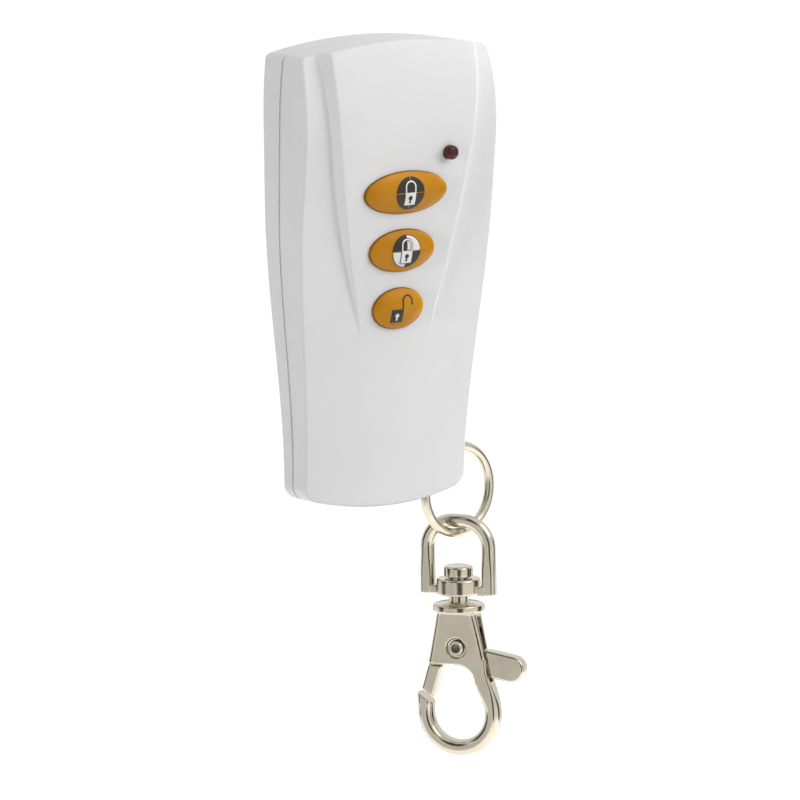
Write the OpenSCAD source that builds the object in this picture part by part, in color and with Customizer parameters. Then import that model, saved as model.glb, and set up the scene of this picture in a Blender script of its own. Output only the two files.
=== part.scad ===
// Alarm key fob: a wedge-shaped case with three domed buttons, on a ring with a swivel trigger snap.
// Millimetres. The flat back of the case lies in the plane Y = 0 and its front faces -Y.
// X runs to the right seen from the front, Z runs up, and the origin is the middle of the back.
// Heights (h) are measured up from the lowest point of the case, depths forward from its back.

/* [Case outline] */
// Height of the case
case_h = 74; // [73:0.5:84]
// Width of the case over its upper part
case_w_top = 36.1; // [35.4:0.1:42]
// How far each side draws in at the very top
top_in = 0.6; // [0:0.1:0.8]
// Width of the case at its foot
case_w_foot = 30.4; // [30:0.1:34]
// Height at which the sides start to widen
flare_low = 4.5; // [2:0.5:12]
// Height at which the sides reach their full width
flare_high = 49; // [40:0.5:56]
// Bow of the top edge
top_bow = 1.9; // [0.6:0.1:3]
// Bow of the foot edge
foot_bow = 2.2; // [0.6:0.1:3]
// Corner radius of the outline at the top
corner_top = 1; // [0.8:0.1:2]
// Corner radius of the outline at the foot
corner_foot = 2.2; // [1.6:0.1:2.8]

/* [Case shells] */
// Wall thickness of both covers
wall = 1.4; // [1.1:0.1:1.7]
// Thickness of the flat back
back_t = 1.2; // [1:0.1:1.5]
// Rounding of the back edge
back_round = 0.7; // [0.3:0.1:1.2]
// Rounding of the front edge
edge_r = 0.5; // [0.4:0.05:0.7]
// Depth of the parting line at the top
part_top = 5.6; // [4.6:0.1:6.4]
// Depth of the parting line at the foot
part_foot = 2.8; // [2.6:0.1:3.1]
// Height of the lip that locates the covers
lip_h = 0.8; // [0.4:0.1:1.2]
// Thickness of the lip
lip_t = 0.6; // [0.4:0.1:0.9]
// Clearance between pieces that slide together
fit_gap = 0.1; // [0.05:0.01:0.2]

/* [Front face] */
// Depth of the shoulders where the front is fullest
deep_top = 13.1; // [12:0.1:14.5]
// Depth of the shoulders at the foot
deep_foot = 6.3; // [6:0.1:7]
// How the depth gathers on the way up, 1 is a straight wedge
sweep = 1.3; // [1:0.05:1.5]
// How far the shoulders roll back at the top edge
roll = 4; // [3.4:0.1:5]
// How far the panel rolls back at the top edge
panel_roll = 3.3; // [2.4:0.1:3.4]
// Height over which the front rolls back
roll_h = 17.5; // [12:0.5:20]
// Crown of the front from side to side, below the panel
crown = 1.2; // [0.8:0.1:1.6]
// Crown of the raised panel
panel_crown = 0.35; // [0.1:0.05:0.6]
// Width of the raised panel at the top
panel_w_top = 26.7; // [25:0.1:28]
// Width of the raised panel where it fades out
panel_w_low = 12.7; // [12:0.1:15]
// Height of the raised panel above the shoulders
panel_rise = 1.3; // [0.6:0.1:1.6]
// Distance below the lowest button at which the panel has faded out
panel_end = 4.2; // [0:0.1:8]
// Distance above the highest button from which the panel has its full rise
panel_start = 4.9; // [0:0.1:8]
// Run of the panel's riser for each millimetre of rise
riser_run = 0.85; // [0.5:0.05:1]

/* [Buttons] */
// Drop of the arm button below the top of the case
arm_drop = 23.8; // [22:0.1:26]
// Spacing of the buttons down the case
button_pitch = 9.25; // [8.6:0.05:10]
// Width of the arm button
arm_w = 15.4; // [13:0.1:17]
// Width of the part-arm button
part_arm_w = 12.2; // [11:0.1:13.5]
// Width of the disarm button
disarm_w = 9.5; // [8.5:0.1:10.5]
// Height of the arm and part-arm buttons
button_t = 6.8; // [6:0.1:7]
// Height of the disarm button
disarm_t = 6.6; // [6:0.1:7]
// How far the domes stand proud
button_proud = 1.6; // [0.8:0.1:2]
// Clearance around each button
button_gap = 0.12; // [0.08:0.01:0.2]
// Width of the flange that keeps a button in
flange_w = 0.8; // [0.5:0.1:1]
// Thickness of that flange
flange_t = 0.8; // [0.6:0.1:1.2]
// Diameter of the stem under a button
stem_d = 3; // [2:0.1:4]
// Travel of a button
travel = 0.35; // [0.2:0.05:0.4]

/* [Electronics] */
// Space between the back and the board
board_rise = 0.8; // [0.6:0.1:1.2]
// Thickness of the board
board_t = 1; // [0.8:0.1:1.2]
// Clearance around the board
board_gap = 0.3; // [0.2:0.05:0.6]
// Height on the case of the board's lower edge
board_low = 6; // [5:0.5:8]
// Side of a push switch
switch_w = 5.2; // [4.5:0.1:6]
// Height of a push switch
switch_t = 1.6; // [1.4:0.1:2]
// Diameter of a switch plunger
plunger_d = 2.6; // [2:0.1:3.2]
// How far a plunger stands out of its switch
plunger_out = 0.6; // [0.5:0.05:0.8]
// Diameter of the lamp
lamp_d = 2.2; // [2:0.1:3]
// Length of the lamp
lamp_len = 5; // [4:0.1:5.5]
// Place of the lamp to the right of the middle
lamp_x = 8.4; // [7.4:0.1:9]
// Height of the lamp above the arm button
lamp_up = 5.9; // [5.5:0.1:6.4]
// Diameter of the battery
battery_d = 8; // [7:0.1:9]
// Space from each end of the battery to the outside of the case
battery_end = 3.95; // [3.9:0.05:6]
// Thickness of the contact sheet
contact_t = 0.4; // [0.3:0.05:0.5]
// Width of the contact sheet
contact_w = 5; // [4:0.1:6]
// Length of the chip's body
chip_len = 8.7; // [6:0.1:9.5]
// Width of the chip's body
chip_w = 3.9; // [3:0.1:4.5]
// Side of the resonator
resonator_w = 5; // [4:0.1:6]

/* [Screws] */
// Distance of each screw from the middle
screw_x = 11; // [10:0.1:11.2]
// Height on the case of the screws
screw_h = 23; // [20:0.5:25]
// Diameter of a screw
screw_d = 2; // [1.6:0.1:2.4]
// Diameter of a screw head
screw_head_d = 3.8; // [3.2:0.1:4]
// Diameter of the bosses that take the screws
boss_d = 4.6; // [4.2:0.1:5]

/* [Key ring] */
// Radius of the ring to the middle of its wire
ring_r = 7; // [6.5:0.1:8]
// Diameter of the ring's wire
ring_wire = 1.5; // [1.2:0.1:1.6]
// Height on the case of the ring's centre
ring_h = 0.3; // [0:0.1:1]
// Distance of the ring's centre outside the foot of the side wall
ring_out = 1.15; // [0.6:0.05:1.4]
// Depth of the ring's centre
ring_depth = 2.5; // [2.4:0.05:2.6]
// Turn of the ring's plane, its left side to the front
ring_turn = 9; // [0:1:11]
// Swing of the ring to either side
ring_swing = 20; // [10:1:22]
// Clearance around the ring where it goes through the case
ring_gap = 0.2; // [0.15:0.05:0.3]

/* [Snap swivel] */
// Turn of the snap about its own axis
snap_turn = -54; // [-70:1:-40]
// Width of the bail
bail_w = 12.5; // [11.5:0.1:14]
// Thickness of the bail's bar
bail_bar = 2.2; // [1.8:0.1:2.4]
// Outer radius of the bail's bends
bail_bend = 5.4; // [5:0.1:5.7]
// Height of the bail from its crown to its feet
bail_h = 12.9; // [11.5:0.1:14]
// Diameter of the bail's collar
collar_d = 7; // [6:0.1:7.4]
// Height of the collar
collar_h = 2.6; // [1.8:0.1:3]
// Diameter of the rivet's head
head_d = 4.6; // [4:0.1:5]
// Height of the rivet's head
head_h = 1.65; // [1.2:0.05:1.8]
// Diameter of the rivet's shank
shank_d = 3; // [2.4:0.1:3.2]
// Free space above and below the collar
swivel_play = 0.3; // [0.2:0.05:0.4]
// Space between the collar and the hook's flange
swivel_space = 1.2; // [0.6:0.1:2]
// Clearance around a turning pin
turn_gap = 0.05; // [0.03:0.01:0.08]

/* [Hook and trigger] */
// Diameter of the hook's flange
hook_flange_d = 8.2; // [7.5:0.1:9]
// Thickness of the hook's flange
hook_flange_t = 1.6; // [1:0.1:1.8]
// Width of the hook's body under the flange
body_w_top = 6.4; // [5.8:0.1:7]
// Width of the hook's body at the eye
body_w_low = 9.9; // [9.4:0.1:10.4]
// Height of the hook's body
body_h = 8.5; // [8.3:0.1:9.2]
// Thickness of the body under the flange
body_t_top = 4.2; // [3.8:0.1:4.8]
// Thickness of the body at the eye
body_t_low = 3.2; // [3:0.1:3.8]
// Width of the eye
eye_w = 8.8; // [8:0.1:9.4]
// Height of the eye
eye_h = 12.4; // [11.8:0.1:13]
// Radius of the arch at the top of the eye
arch_r = 3.1; // [2.6:0.1:3.4]
// Width of the hook's bar
hook_bar = 2.5; // [2:0.1:2.7]
// Thickness of the hook's bar
hook_t = 3.1; // [2.6:0.1:3.2]
// Drop of the trigger's pin below the flange
pin_drop = 5.8; // [5.6:0.1:6]
// Diameter of the pin
pin_d = 2.3; // [2:0.1:2.5]
// Thickness of the trigger inside the slot
lever_t = 1.4; // [1.2:0.1:1.6]
// Clearance on each side of the trigger in its slot
lever_gap = 0.1; // [0.08:0.01:0.15]
// Diameter of the trigger's hub
hub_d = 6; // [5.6:0.1:6.4]
// Distance from the pin sideways to the round end of the tab
tab_x = 9; // [8.4:0.1:9.6]
// Drop of the round end of the tab below the pin
tab_drop = 3.1; // [2.8:0.05:3.2]
// Height of the tab
tab_h = 4.3; // [4:0.1:4.8]
// Thickness of the tab and the gate
tab_t = 2.4; // [2:0.1:2.8]
// Tilt of the tab
tab_tilt = 10; // [6:1:12]
// Distance from the pin to the end of the gate
gate_reach = 9.2; // [8.8:0.1:9.4]
// Lean of the gate
gate_lean = 16.5; // [14:0.5:18]
// Distance of the gate's middle line from the pin
gate_off = 2.75; // [2.5:0.05:2.9]
// Width of the gate
gate_w = 2.3; // [2:0.1:2.5]
// Gap between the gate and the hook's tip
gate_gap = 0.9; // [0.4:0.05:1.1]
// Wire of the trigger's spring
spring_wire = 0.26; // [0.2:0.01:0.28]

/* [Hidden] */
$fn = 48;

white = "whitesmoke";
amber = "goldenrod";
nickel = "silver";

// Cuts run this far past the faces that they open
over = 1;

// Heights of the buttons and of the panel that carries them
arm_h = case_h - arm_drop;
part_arm_h = arm_h - button_pitch;
disarm_h = part_arm_h - button_pitch;
panel_fade = disarm_h - panel_end;
panel_full = arm_h + panel_start;

// Depths of what is stacked on the back, and heights of what is placed by it
board_back = back_t + board_rise;
board_front = board_back + board_t;
lip_in = wall + fit_gap;
pocket_in = lip_in + lip_t;
battery_room = 1.6;
battery_len = case_w_top - 2 * battery_end;
battery_h = case_h - wall - top_bow - battery_room - battery_d / 2;
board_high = battery_h - battery_d / 2 - battery_room;
lamp_h = arm_h + lamp_up;
deep_h = case_h - 0.6 * roll_h;
bow_reach = 20;
top_reach = 12;

// Places along the ring and the snap, as heights of the model
foot_z = -case_h / 2;
wire_r = ring_wire / 2;
ring_x = case_w_foot / 2 + ring_out;
ring_z = foot_z + ring_h;
ring_inner = ring_r - wire_r;
pivot_z = ring_z + ring_inner;
link_gap = 0.1;
crown_z = ring_z - ring_inner + link_gap;
bail_top = crown_z + bail_bar;
bail_foot = bail_top - bail_h;
collar_top = bail_foot + collar_h;
flange_top = bail_foot - swivel_space;
flange_low = flange_top - hook_flange_t;
eye_top = flange_low - body_h;
eye_low = eye_top - eye_h;
pin_z = flange_low - pin_drop;
slot_w = lever_t + 2 * lever_gap;

function clamp01(t) = min(1, max(0, t));
function ease(t) = (1 - cos(180 * clamp01(t))) / 2;
function ramp(t, b = 0.2) = t <= 0 ? 0 : t >= 1 ? 1 : t < b ? t * t / (2 * b * (1 - b))
    : t > 1 - b ? 1 - (1 - t) * (1 - t) / (2 * b * (1 - b)) : (t - b / 2) / (1 - b);
function fall(r, d) = d >= r ? 0 : r - sqrt(max(r * r - (r - d) * (r - d), 0));
function mirrored(xs) = concat([for (i = [len(xs) - 1:-1:0]) -xs[i]], xs);

// Outline and depth of the case at a height. The riser keeps a share of its run where the panel fades
least_rise = 0.4;
function near_top(h, reach) = pow(clamp01((h - case_h + reach) / reach), 2);
function half_w(h) = (case_w_foot + (case_w_top - case_w_foot)
    * ease((h - flare_low) / (flare_high - flare_low))) / 2 - top_in * near_top(h, top_reach);
function shoulder(h) = deep_foot + (deep_top - deep_foot) * pow(max(h, 0) / deep_h, sweep)
    - roll * near_top(h, roll_h);
function lift(h) = sin(90 * clamp01((h - panel_fade) / (panel_full - panel_fade)));
function rise(h) = panel_rise * lift(h) + (roll - panel_roll) * near_top(h, roll_h);
function panel_half(h) = (panel_w_low + (panel_w_top - panel_w_low)
    * sin(90 * clamp01((h - panel_fade) / (case_h - panel_fade)))) / 2;
function run(h) = riser_run * max(rise(h), least_rise * panel_rise);
function crowned(x, h) = (crown + (panel_crown - crown) * lift(h)) * (1 - pow(x / half_w(h), 2));
function panel_skin(x, h) = shoulder(h) + crowned(x, h) + rise(h);
function parting(h) = part_foot + (part_top - part_foot) * h / case_h;

// A shell's grid, s inside the outer skin: rounded edges, corners, rows and columns
least_edge = 0.3;
least_corner = 0.5;
riser_in = 0.45;
function edge_of(s) = max(edge_r - s, least_edge);
function corner_at(h, s) = max((h < case_h / 2 ? corner_foot : corner_top) - s, least_corner);
function steps(r) = [for (a = [0:30:90]) r * (1 - cos(a))];
mid_rows = 14;
function end_rows(c, e) = concat(steps(e), [for (i = [1:3]) e + (c - e) * i / 3]);
function row_heights(s) = let (
    foot = end_rows(corner_at(0, s), edge_of(s)),
    top = end_rows(corner_at(case_h, s), edge_of(s)),
    low = s + corner_at(0, s),
    span = case_h - s - corner_at(case_h, s) - low)
    concat([for (d = foot) s + d], [for (i = [1:mid_rows - 1]) low + span * i / mid_rows],
        [for (i = [len(top) - 1:-1:0]) case_h - s - top[i]]);
function end_gap(h, s) = min(h, case_h - h) - s;
function row_end(h, s) = half_w(h) - s - fall(corner_at(h, s), end_gap(h, s));
function columns(h, s) = let (
    p = panel_half(h) - riser_in * s,
    foot = p + run(h),
    last = row_end(h, s),
    e = edge_of(s))
    mirrored(concat([for (f = [0.15, 0.5, 0.85]) f * p], [for (t = [0, 0.2, 0.5, 0.8, 1]) p + run(h) * t],
        [(foot + last - e) / 2], [for (i = [3:-1:0]) last - steps(e)[i]]));
function bowed(x, h) = h + pow(x / half_w(h), 2)
    * (foot_bow * pow(clamp01(1 - h / bow_reach), 2)
    - top_bow * pow(clamp01(1 - (case_h - h) / bow_reach), 2));
function rim_gap(x, h, s) = let (c = corner_at(h, s), ex = half_w(h) - s - abs(x), ez = end_gap(h, s))
    ex < c && ez < c ? c - norm([c - ex, c - ez]) : min(ex, ez);
function skin(x, h, s) = shoulder(h) + crowned(x, h) - s
    + rise(h) * (1 - ramp((abs(x) - panel_half(h) + riser_in * s) / run(h)))
    - fall(edge_of(s), max(rim_gap(x, h, s), 0));

// The outline as a loop of places in the grid, from the middle of the foot up the right side and round
rows = len(row_heights(0));
cols = len(columns(case_h / 2, 0));
loop = concat([for (j = [cols / 2:cols - 1]) [0, j]], [for (i = [1:rows - 1]) [i, cols - 1]],
    [for (j = [cols - 2:-1:0]) [rows - 1, j]], [for (i = [rows - 2:-1:0]) [i, 0]],
    [for (j = [1:cols / 2 - 1]) [0, j]]);
function outline(s) = let (hs = row_heights(s))
    [for (p = loop) let (h = hs[p[0]], x = columns(h, s)[p[1]]) [x, bowed(x, h)]];
function at_depth(points, depth) = [for (p = points) [p[0], -depth, foot_z + p[1]]];
function at_parting(points, back) = [for (p = points) [p[0], back - parting(p[1]), foot_z + p[1]]];

function split(a, b, c, d) = [[a, b, c], [a, c, d]];
function strip_cap(n, first) = [for (k = [0:n / 2 - 2])
    each split(first + k, first + k + 1, first + n - 2 - k, first + n - 1 - k)];
function flipped(faces) = [for (f = faces) [f[2], f[1], f[0]]];

// A solid through loops of points, each anticlockwise seen from the last loop's end
module loft(loops) {
    n = len(loops[0]);
    last = len(loops) - 1;
    sides = [for (i = [0:last - 1], k = [0:n - 1]) let (m = (k + 1) % n)
        each split((i + 1) * n + k, (i + 1) * n + m, i * n + m, i * n + k)];
    polyhedron([for (l = loops) each l], concat(sides, strip_cap(n, 0), flipped(strip_cap(n, last * n))));
}

// The front half of the case as a solid block, s inside the outer skin, reaching back past the parting
module front_block(s, back) {
    hs = row_heights(s);
    grid = [for (h = hs) [for (x = columns(h, s)) [x, -skin(x, h, s), foot_z + bowed(x, h)]]];
    first = rows * cols;
    n = len(loop);
    front = [for (i = [0:rows - 2], j = [0:cols - 2]) let (a = i * cols + j, b = a + cols)
        each (j < cols / 2 ? split(a, b, b + 1, a + 1) : split(b, b + 1, a + 1, a))];
    sides = [for (k = [0:n - 1]) let (m = (k + 1) % n)
        each split(loop[k][0] * cols + loop[k][1], loop[m][0] * cols + loop[m][1], first + m, first + k)];
    polyhedron(concat([for (r = grid) each r], at_parting(outline(s), back)),
        concat(front, sides, strip_cap(n, first)));
}

// Extrudes a drawing of X and Z forward, between two depths
module forward(from, to) {
    translate([0, -from, 0]) rotate([90, 0, 0]) linear_extrude(to - from) children();
}

// A rod along Y between two depths
module rod(x, h, d, from, to) {
    translate([x, -from, foot_z + h]) rotate([90, 0, 0]) cylinder(d = d, h = to - from);
}

module case_prism(s, from, to) {
    forward(from, to) polygon([for (p = outline(s)) [p[0], foot_z + p[1]]]);
}

// Everything in front of the parting plane, moved forward by ahead
module before_parting(ahead) {
    low = -over;
    high = case_h + over;
    far = 3 * deep_top;
    translate([-case_w_top, 0, foot_z]) rotate([90, 0, 90]) linear_extrude(2 * case_w_top)
        polygon([[-parting(low) - ahead, low], [-far, low], [-far, high], [-parting(high) - ahead, high]]);
}

// The corner of the case that the ring hangs on, bounded by the ring at both ends of its swing
module ring_post_drawing() {
    intersection_for (a = [-ring_swing, ring_swing])
        translate([ring_inner * sin(a), -ring_inner * cos(a)]) circle(r = ring_inner - ring_gap);
}

module in_ring_plane() {
    translate([ring_x, -ring_depth, pivot_z]) rotate([0, 0, ring_turn]) children();
}

module ring_post() {
    in_ring_plane() forward(-deep_top, deep_top) ring_post_drawing();
}

// Space for the ring to pass and swing through the corner, round the post
ring_bay_w = ring_r + wire_r + ring_inner * sin(ring_swing) + ring_gap;
ring_bay_up = 2 * ring_wire - 2 * ring_gap;
module ring_bay() {
    in_ring_plane() forward(-wire_r - ring_gap, wire_r + ring_gap) difference() {
        translate([-ring_bay_w, -2 * ring_r]) square([2 * ring_bay_w, 2 * ring_r + ring_bay_up]);
        ring_post_drawing();
    }
}

// The right foot corner, which lip and board leave free for the ring
module ring_corner(margin) {
    x = ring_x - ring_bay_w - margin;
    forward(-over, deep_top) translate([x, foot_z - over])
        square([case_w_top, pivot_z + ring_bay_up + margin - foot_z + over]);
}

// Tongues of the rear cover that hook into the front cover's top wall
tongue_w = 4;
tongue_x = 8;
tongue_t = 0.7;
tongue_ahead = 0.2;
module tongues(gap) {
    for (x = [-tongue_x, tongue_x])
        let (h = bowed(x, case_h - lip_in), from = parting(case_h) + tongue_ahead)
            forward(from - gap, from + lip_h + gap)
                translate([x - tongue_w / 2 - gap, foot_z + h - lip_t])
                    square([tongue_w + 2 * gap, lip_t + tongue_t + gap]);
}

module at_screws() {
    for (x = [-screw_x, screw_x]) let ($x = x) children();
}

function boss_end() = panel_skin(screw_x, screw_h) - wall / 2;

module ellipse_prism(h, w, t, from, to) {
    forward(from, to) polygon([for (a = [0:7.5:352.5]) [w / 2 * cos(a), foot_z + h + t / 2 * sin(a)]]);
}

module front_cover() {
    color(white) difference() {
        front_block(0, 0);
        difference() {
            front_block(wall, over);
            ring_post();
            at_screws() rod($x, screw_h, boss_d, board_front, boss_end());
        }
        ring_bay();
        tongues(fit_gap);
        at_screws() rod($x, screw_h, screw_d, 0, screw_tip());
        ellipse_prism(arm_h, arm_w, button_t, 0, 2 * deep_top);
        ellipse_prism(part_arm_h, part_arm_w, button_t, 0, 2 * deep_top);
        ellipse_prism(disarm_h, disarm_w, disarm_t, 0, 2 * deep_top);
        rod(lamp_x, lamp_h, lamp_d + 2 * fit_gap, 0, 2 * deep_top);
    }
}

// The screws sink into the back, and press on what is left of the boss
head_sink = back_t;
tip_room = 0.6;
foot_boss_d = boss_d + 1;
function screw_tip() = boss_end() - tip_room;

module rear_cover() {
    round_steps = [for (a = [0:30:90]) [back_round * (1 - sin(a)), back_round * (1 - cos(a))]];
    color(white) difference() {
        union() {
            difference() {
                loft(concat([for (r = round_steps) at_depth(outline(r[0]), r[1])],
                    [at_parting(outline(0), 0)]));
                difference() {
                    case_prism(pocket_in, back_t, deep_top);
                    ring_post();
                    at_screws() rod($x, screw_h, foot_boss_d, 0, board_back);
                    battery_ribs();
                }
            }
            difference() {
                case_prism(lip_in, back_t, part_top + 2 * lip_h);
                case_prism(pocket_in, 0, deep_top);
                before_parting(lip_h);
                ring_corner(1);
            }
            tongues(0);
        }
        ring_bay();
        at_screws() {
            rod($x, screw_h, screw_head_d + 2 * fit_gap, -over, head_sink);
            rod($x, screw_h, screw_d + 2 * fit_gap, 0, deep_top);
        }
    }
}

// Ribs on the back that carry the battery from below
rib_x = 9;
rib_t = 0.9;
module battery_ribs() {
    for (x = [-rib_x, rib_x])
        forward(0, back_t + battery_d / 3)
            translate([x - rib_t, foot_z + battery_h - battery_d / 2 - rib_t]) square([2 * rib_t, rib_t]);
}

// A domed button that follows the slope of the panel, with its retaining flange and its stem
function draped(h, w, t, d) = [for (a = [0:9:351]) let (x = w / 2 * cos(a), u = h + t / 2 * sin(a))
    [x, -panel_skin(x, u) - d, foot_z + u]];
rim_proud = 0.3;
dome_power = 0.7;
function proud(f) = rim_proud + (button_proud - rim_proud) * pow(1 - f * f, dome_power);
function flange_low_depth(h, t) = panel_skin(0, h - t / 2 - flange_w) - wall - button_gap - flange_t;
function flat_loop(points, depth) = [for (p = points) [p[0], -depth, p[2]]];
dome_steps = [1, 0.97, 0.9, 0.75, 0.5, 0.2];
module button(h, w, t) {
    bw = w - 2 * button_gap;
    bt = t - 2 * button_gap;
    flange = draped(h, bw + 2 * flange_w, bt + 2 * flange_w, -wall - button_gap);
    low = flange_low_depth(h, t);
    color(amber) union() {
        loft(concat([flat_loop(flange, low), flange, draped(h, bw, bt, -wall - button_gap)],
            [for (f = dome_steps) draped(h, bw * f, bt * f, proud(f))]));
        rod(0, h, stem_d, plunger_top(), low + flange_t / 2);
    }
}

module arm_button() button(arm_h, arm_w, button_t);
module part_arm_button() button(part_arm_h, part_arm_w, button_t);
module disarm_button() button(disarm_h, disarm_w, disarm_t);

function plunger_top() = board_front + switch_t + plunger_out;
switch_floor = 0.4;
module push_switch(h) {
    color("dimgray") difference() {
        forward(board_front, board_front + switch_t) translate([-switch_w / 2, foot_z + h - switch_w / 2])
            square(switch_w);
        rod(0, h, plunger_d + 2 * fit_gap, board_front + switch_floor, board_front + switch_t + over);
    }
}

module arm_switch() push_switch(arm_h);
module part_arm_switch() push_switch(part_arm_h);
module disarm_switch() push_switch(disarm_h);

module plunger(h) {
    color("black") rod(0, h, plunger_d, board_front + switch_floor + travel + fit_gap, plunger_top());
}

module arm_plunger() plunger(arm_h);
module part_arm_plunger() plunger(part_arm_h);
module disarm_plunger() plunger(disarm_h);

module main_board() {
    color("darkgreen") difference() {
        intersection() {
            case_prism(pocket_in + board_gap, board_back, board_front);
            forward(0, deep_top) translate([-case_w_top / 2, foot_z + board_low])
                square([case_w_top, board_high - board_low]);
        }
        ring_corner(1.5);
        at_screws() rod($x, screw_h, screw_d + 4 * fit_gap, 0, deep_top);
    }
}

// The lamp's round tip stands out of the panel, with its rim behind the wall
lamp_proud = 1.5;
lamp_rim = 0.9;
lamp_rim_w = 0.3;
function lamp_tip() = panel_skin(lamp_x, lamp_h) + lamp_proud;
function lamp_base() = lamp_tip() - lamp_len;
module led_lamp() {
    r = lamp_d / 2;
    color("maroon") translate([lamp_x, -lamp_base(), foot_z + lamp_h]) rotate([90, 0, 0]) union() {
        cylinder(r = r, h = lamp_len - r);
        cylinder(r = r + lamp_rim_w, h = lamp_rim);
        translate([0, 0, lamp_len - r]) intersection() {
            sphere(r = r);
            cylinder(r = r, h = r);
        }
    }
}

lead_w = 0.5;
lead_pitch = 1.27;
module led_leads() {
    color(nickel) for (x = [-lead_pitch / 2, lead_pitch / 2])
        forward(board_front, lamp_base()) translate([lamp_x + x - lead_w / 2, foot_z + lamp_h - lead_w / 2])
            square(lead_w);
}

// The battery lies across the top of the case, its raised pole to the right
pole_d = 4;
pole_len = 1;
battery_depth = back_t + fit_gap + battery_d / 2;
module battery() {
    color("gray") translate([-battery_len / 2, -battery_depth, foot_z + battery_h]) rotate([0, 90, 0])
        union() {
            cylinder(d = battery_d, h = battery_len - pole_len);
            cylinder(d = pole_d, h = battery_len);
        }
}

// Sheet contacts stand on the board beside the battery's ends
contact_low = 3;
module contact_sheet(x) {
    low = board_high - contact_low;
    high = battery_h + contact_w / 2;
    translate([x, 0, foot_z]) rotate([90, 0, 90]) linear_extrude(contact_t) union() {
        translate([-battery_depth, battery_h]) square(contact_w, center = true);
        translate([-board_front - contact_w / 2, low]) square([contact_w / 2, high - low]);
    }
}

module positive_contact() {
    color(nickel) contact_sheet(battery_len / 2 + fit_gap);
}

leaf_bow = 1.1;
module negative_contact() {
    chord = contact_w - 1;
    leaf_r = (chord * chord / 4 + leaf_bow * leaf_bow) / (2 * leaf_bow);
    leaf_a = 2 * asin(chord / 2 / leaf_r);
    back_x = -battery_len / 2 - fit_gap - leaf_bow - contact_t;
    color(nickel) union() {
        contact_sheet(back_x);
        translate([-battery_len / 2 - fit_gap - leaf_r, -battery_depth + contact_w / 4, foot_z + battery_h])
            rotate([90, 0, 0]) linear_extrude(contact_w / 2) intersection() {
                difference() {
                    circle(r = leaf_r);
                    circle(r = leaf_r - contact_t);
                }
                translate([leaf_r - leaf_bow - contact_t / 2, -leaf_r]) square([2 * leaf_bow, 2 * leaf_r]);
            }
    }
}

chip_drop = 12.2;
chip_h = disarm_h - chip_drop;
chip_t = 1.5;
chip_pins = 7;
chip_pitch = 1.27;
chip_stand = 0.1;
chip_pin_out = 1;
chip_pin_w = 0.4;
chip_pin_t = 0.25;
module encoder_chip() {
    from = board_front + chip_t / 2;
    pitch = min(chip_pitch, chip_len / chip_pins);
    foot = chip_w / 2 + chip_pin_out - chip_pin_t / 2;
    color("black") translate([0, 0, foot_z + chip_h]) union() {
        forward(board_front + chip_stand, board_front + chip_t) square([chip_len, chip_w], center = true);
        for (i = [0:chip_pins - 1], side = [-1, 1]) translate([(i - (chip_pins - 1) / 2) * pitch, 0, 0]) {
            forward(board_front, from) translate([0, side * foot])
                square([chip_pin_w, chip_pin_t], center = true);
            forward(from - chip_pin_t, from) translate([0, side * (chip_w + chip_pin_out) / 2])
                square([chip_pin_w, chip_pin_out], center = true);
        }
    }
}

part_gap = 1.5;
resonator_up = 5;
resonator_h = board_low + resonator_up;
resonator_x = -(chip_len + resonator_w) / 2 - part_gap;
resonator_t = 1.4;
resonator_size = [resonator_w, 0.75 * resonator_w];
lid_t = 0.3;
lid_in = 0.4;
module saw_resonator() {
    color("goldenrod") translate([resonator_x, 0, foot_z + resonator_h]) union() {
        forward(board_front, board_front + resonator_t - lid_t) square(resonator_size, center = true);
        forward(board_front, board_front + resonator_t)
            square(resonator_size - [2 * lid_in, 2 * lid_in], center = true);
    }
}

// Small resistors and capacitors in a row beside the switches
part_rows = 6;
part_pitch = 3.6;
part_low = disarm_h;
part_x = -8;
part_size = [2, 1.25];
part_t = 0.6;
module chip_components() {
    color("tan") for (i = [0:part_rows - 1])
        forward(board_front, board_front + part_t) translate([part_x, foot_z + part_low + i * part_pitch])
            square(part_size, center = true);
}

head_below = 0.1;
module case_screws() {
    color(nickel) at_screws() union() {
        rod($x, screw_h, screw_head_d, head_below, head_sink);
        rod($x, screw_h, screw_d, head_below, screw_tip());
    }
}

module key_ring() {
    color(nickel) translate([ring_x, -ring_depth, ring_z]) rotate([90, 0, ring_turn])
        rotate_extrude() translate([ring_r, 0]) circle(r = wire_r);
}

module at_snap() {
    translate([ring_x, -ring_depth, 0]) rotate([0, 0, snap_turn]) children();
}

// A square bar with rounded arrises
bar_round = 0.59 * bail_bar;
module bar_drawing() {
    intersection() {
        square(bail_bar, center = true);
        circle(r = bar_round);
    }
}

// The bar between the bail's feet
foot_bar_t = 0.9 * bail_bar;
foot_bar_h = collar_h / 2;

module swivel_bail() {
    leg_x = (bail_w - bail_bar) / 2;
    bend_r = bail_bend - bail_bar / 2;
    bend_x = leg_x - bend_r;
    bend_z = bail_top - bail_bend;
    bore = shank_d + 2 * turn_gap;
    color(nickel) at_snap() difference() {
        union() {
            for (side = [0, 1]) mirror([side, 0, 0]) {
                translate([bend_x, 0, bend_z]) rotate([90, 0, 0])
                    rotate_extrude(angle = 90) translate([bend_r, 0]) bar_drawing();
                translate([leg_x, 0, bail_foot]) linear_extrude(bend_z - bail_foot) bar_drawing();
                translate([0, -foot_bar_t / 2, bail_foot]) cube([leg_x, foot_bar_t, foot_bar_h]);
            }
            translate([-bend_x, 0, bail_top - bail_bar / 2]) rotate([90, 0, 90])
                linear_extrude(2 * bend_x) bar_drawing();
            translate([0, 0, bail_foot]) cylinder(d = collar_d, h = collar_h);
        }
        translate([0, 0, bail_foot - over]) cylinder(d = bore, h = collar_h + 2 * over);
    }
}

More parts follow.
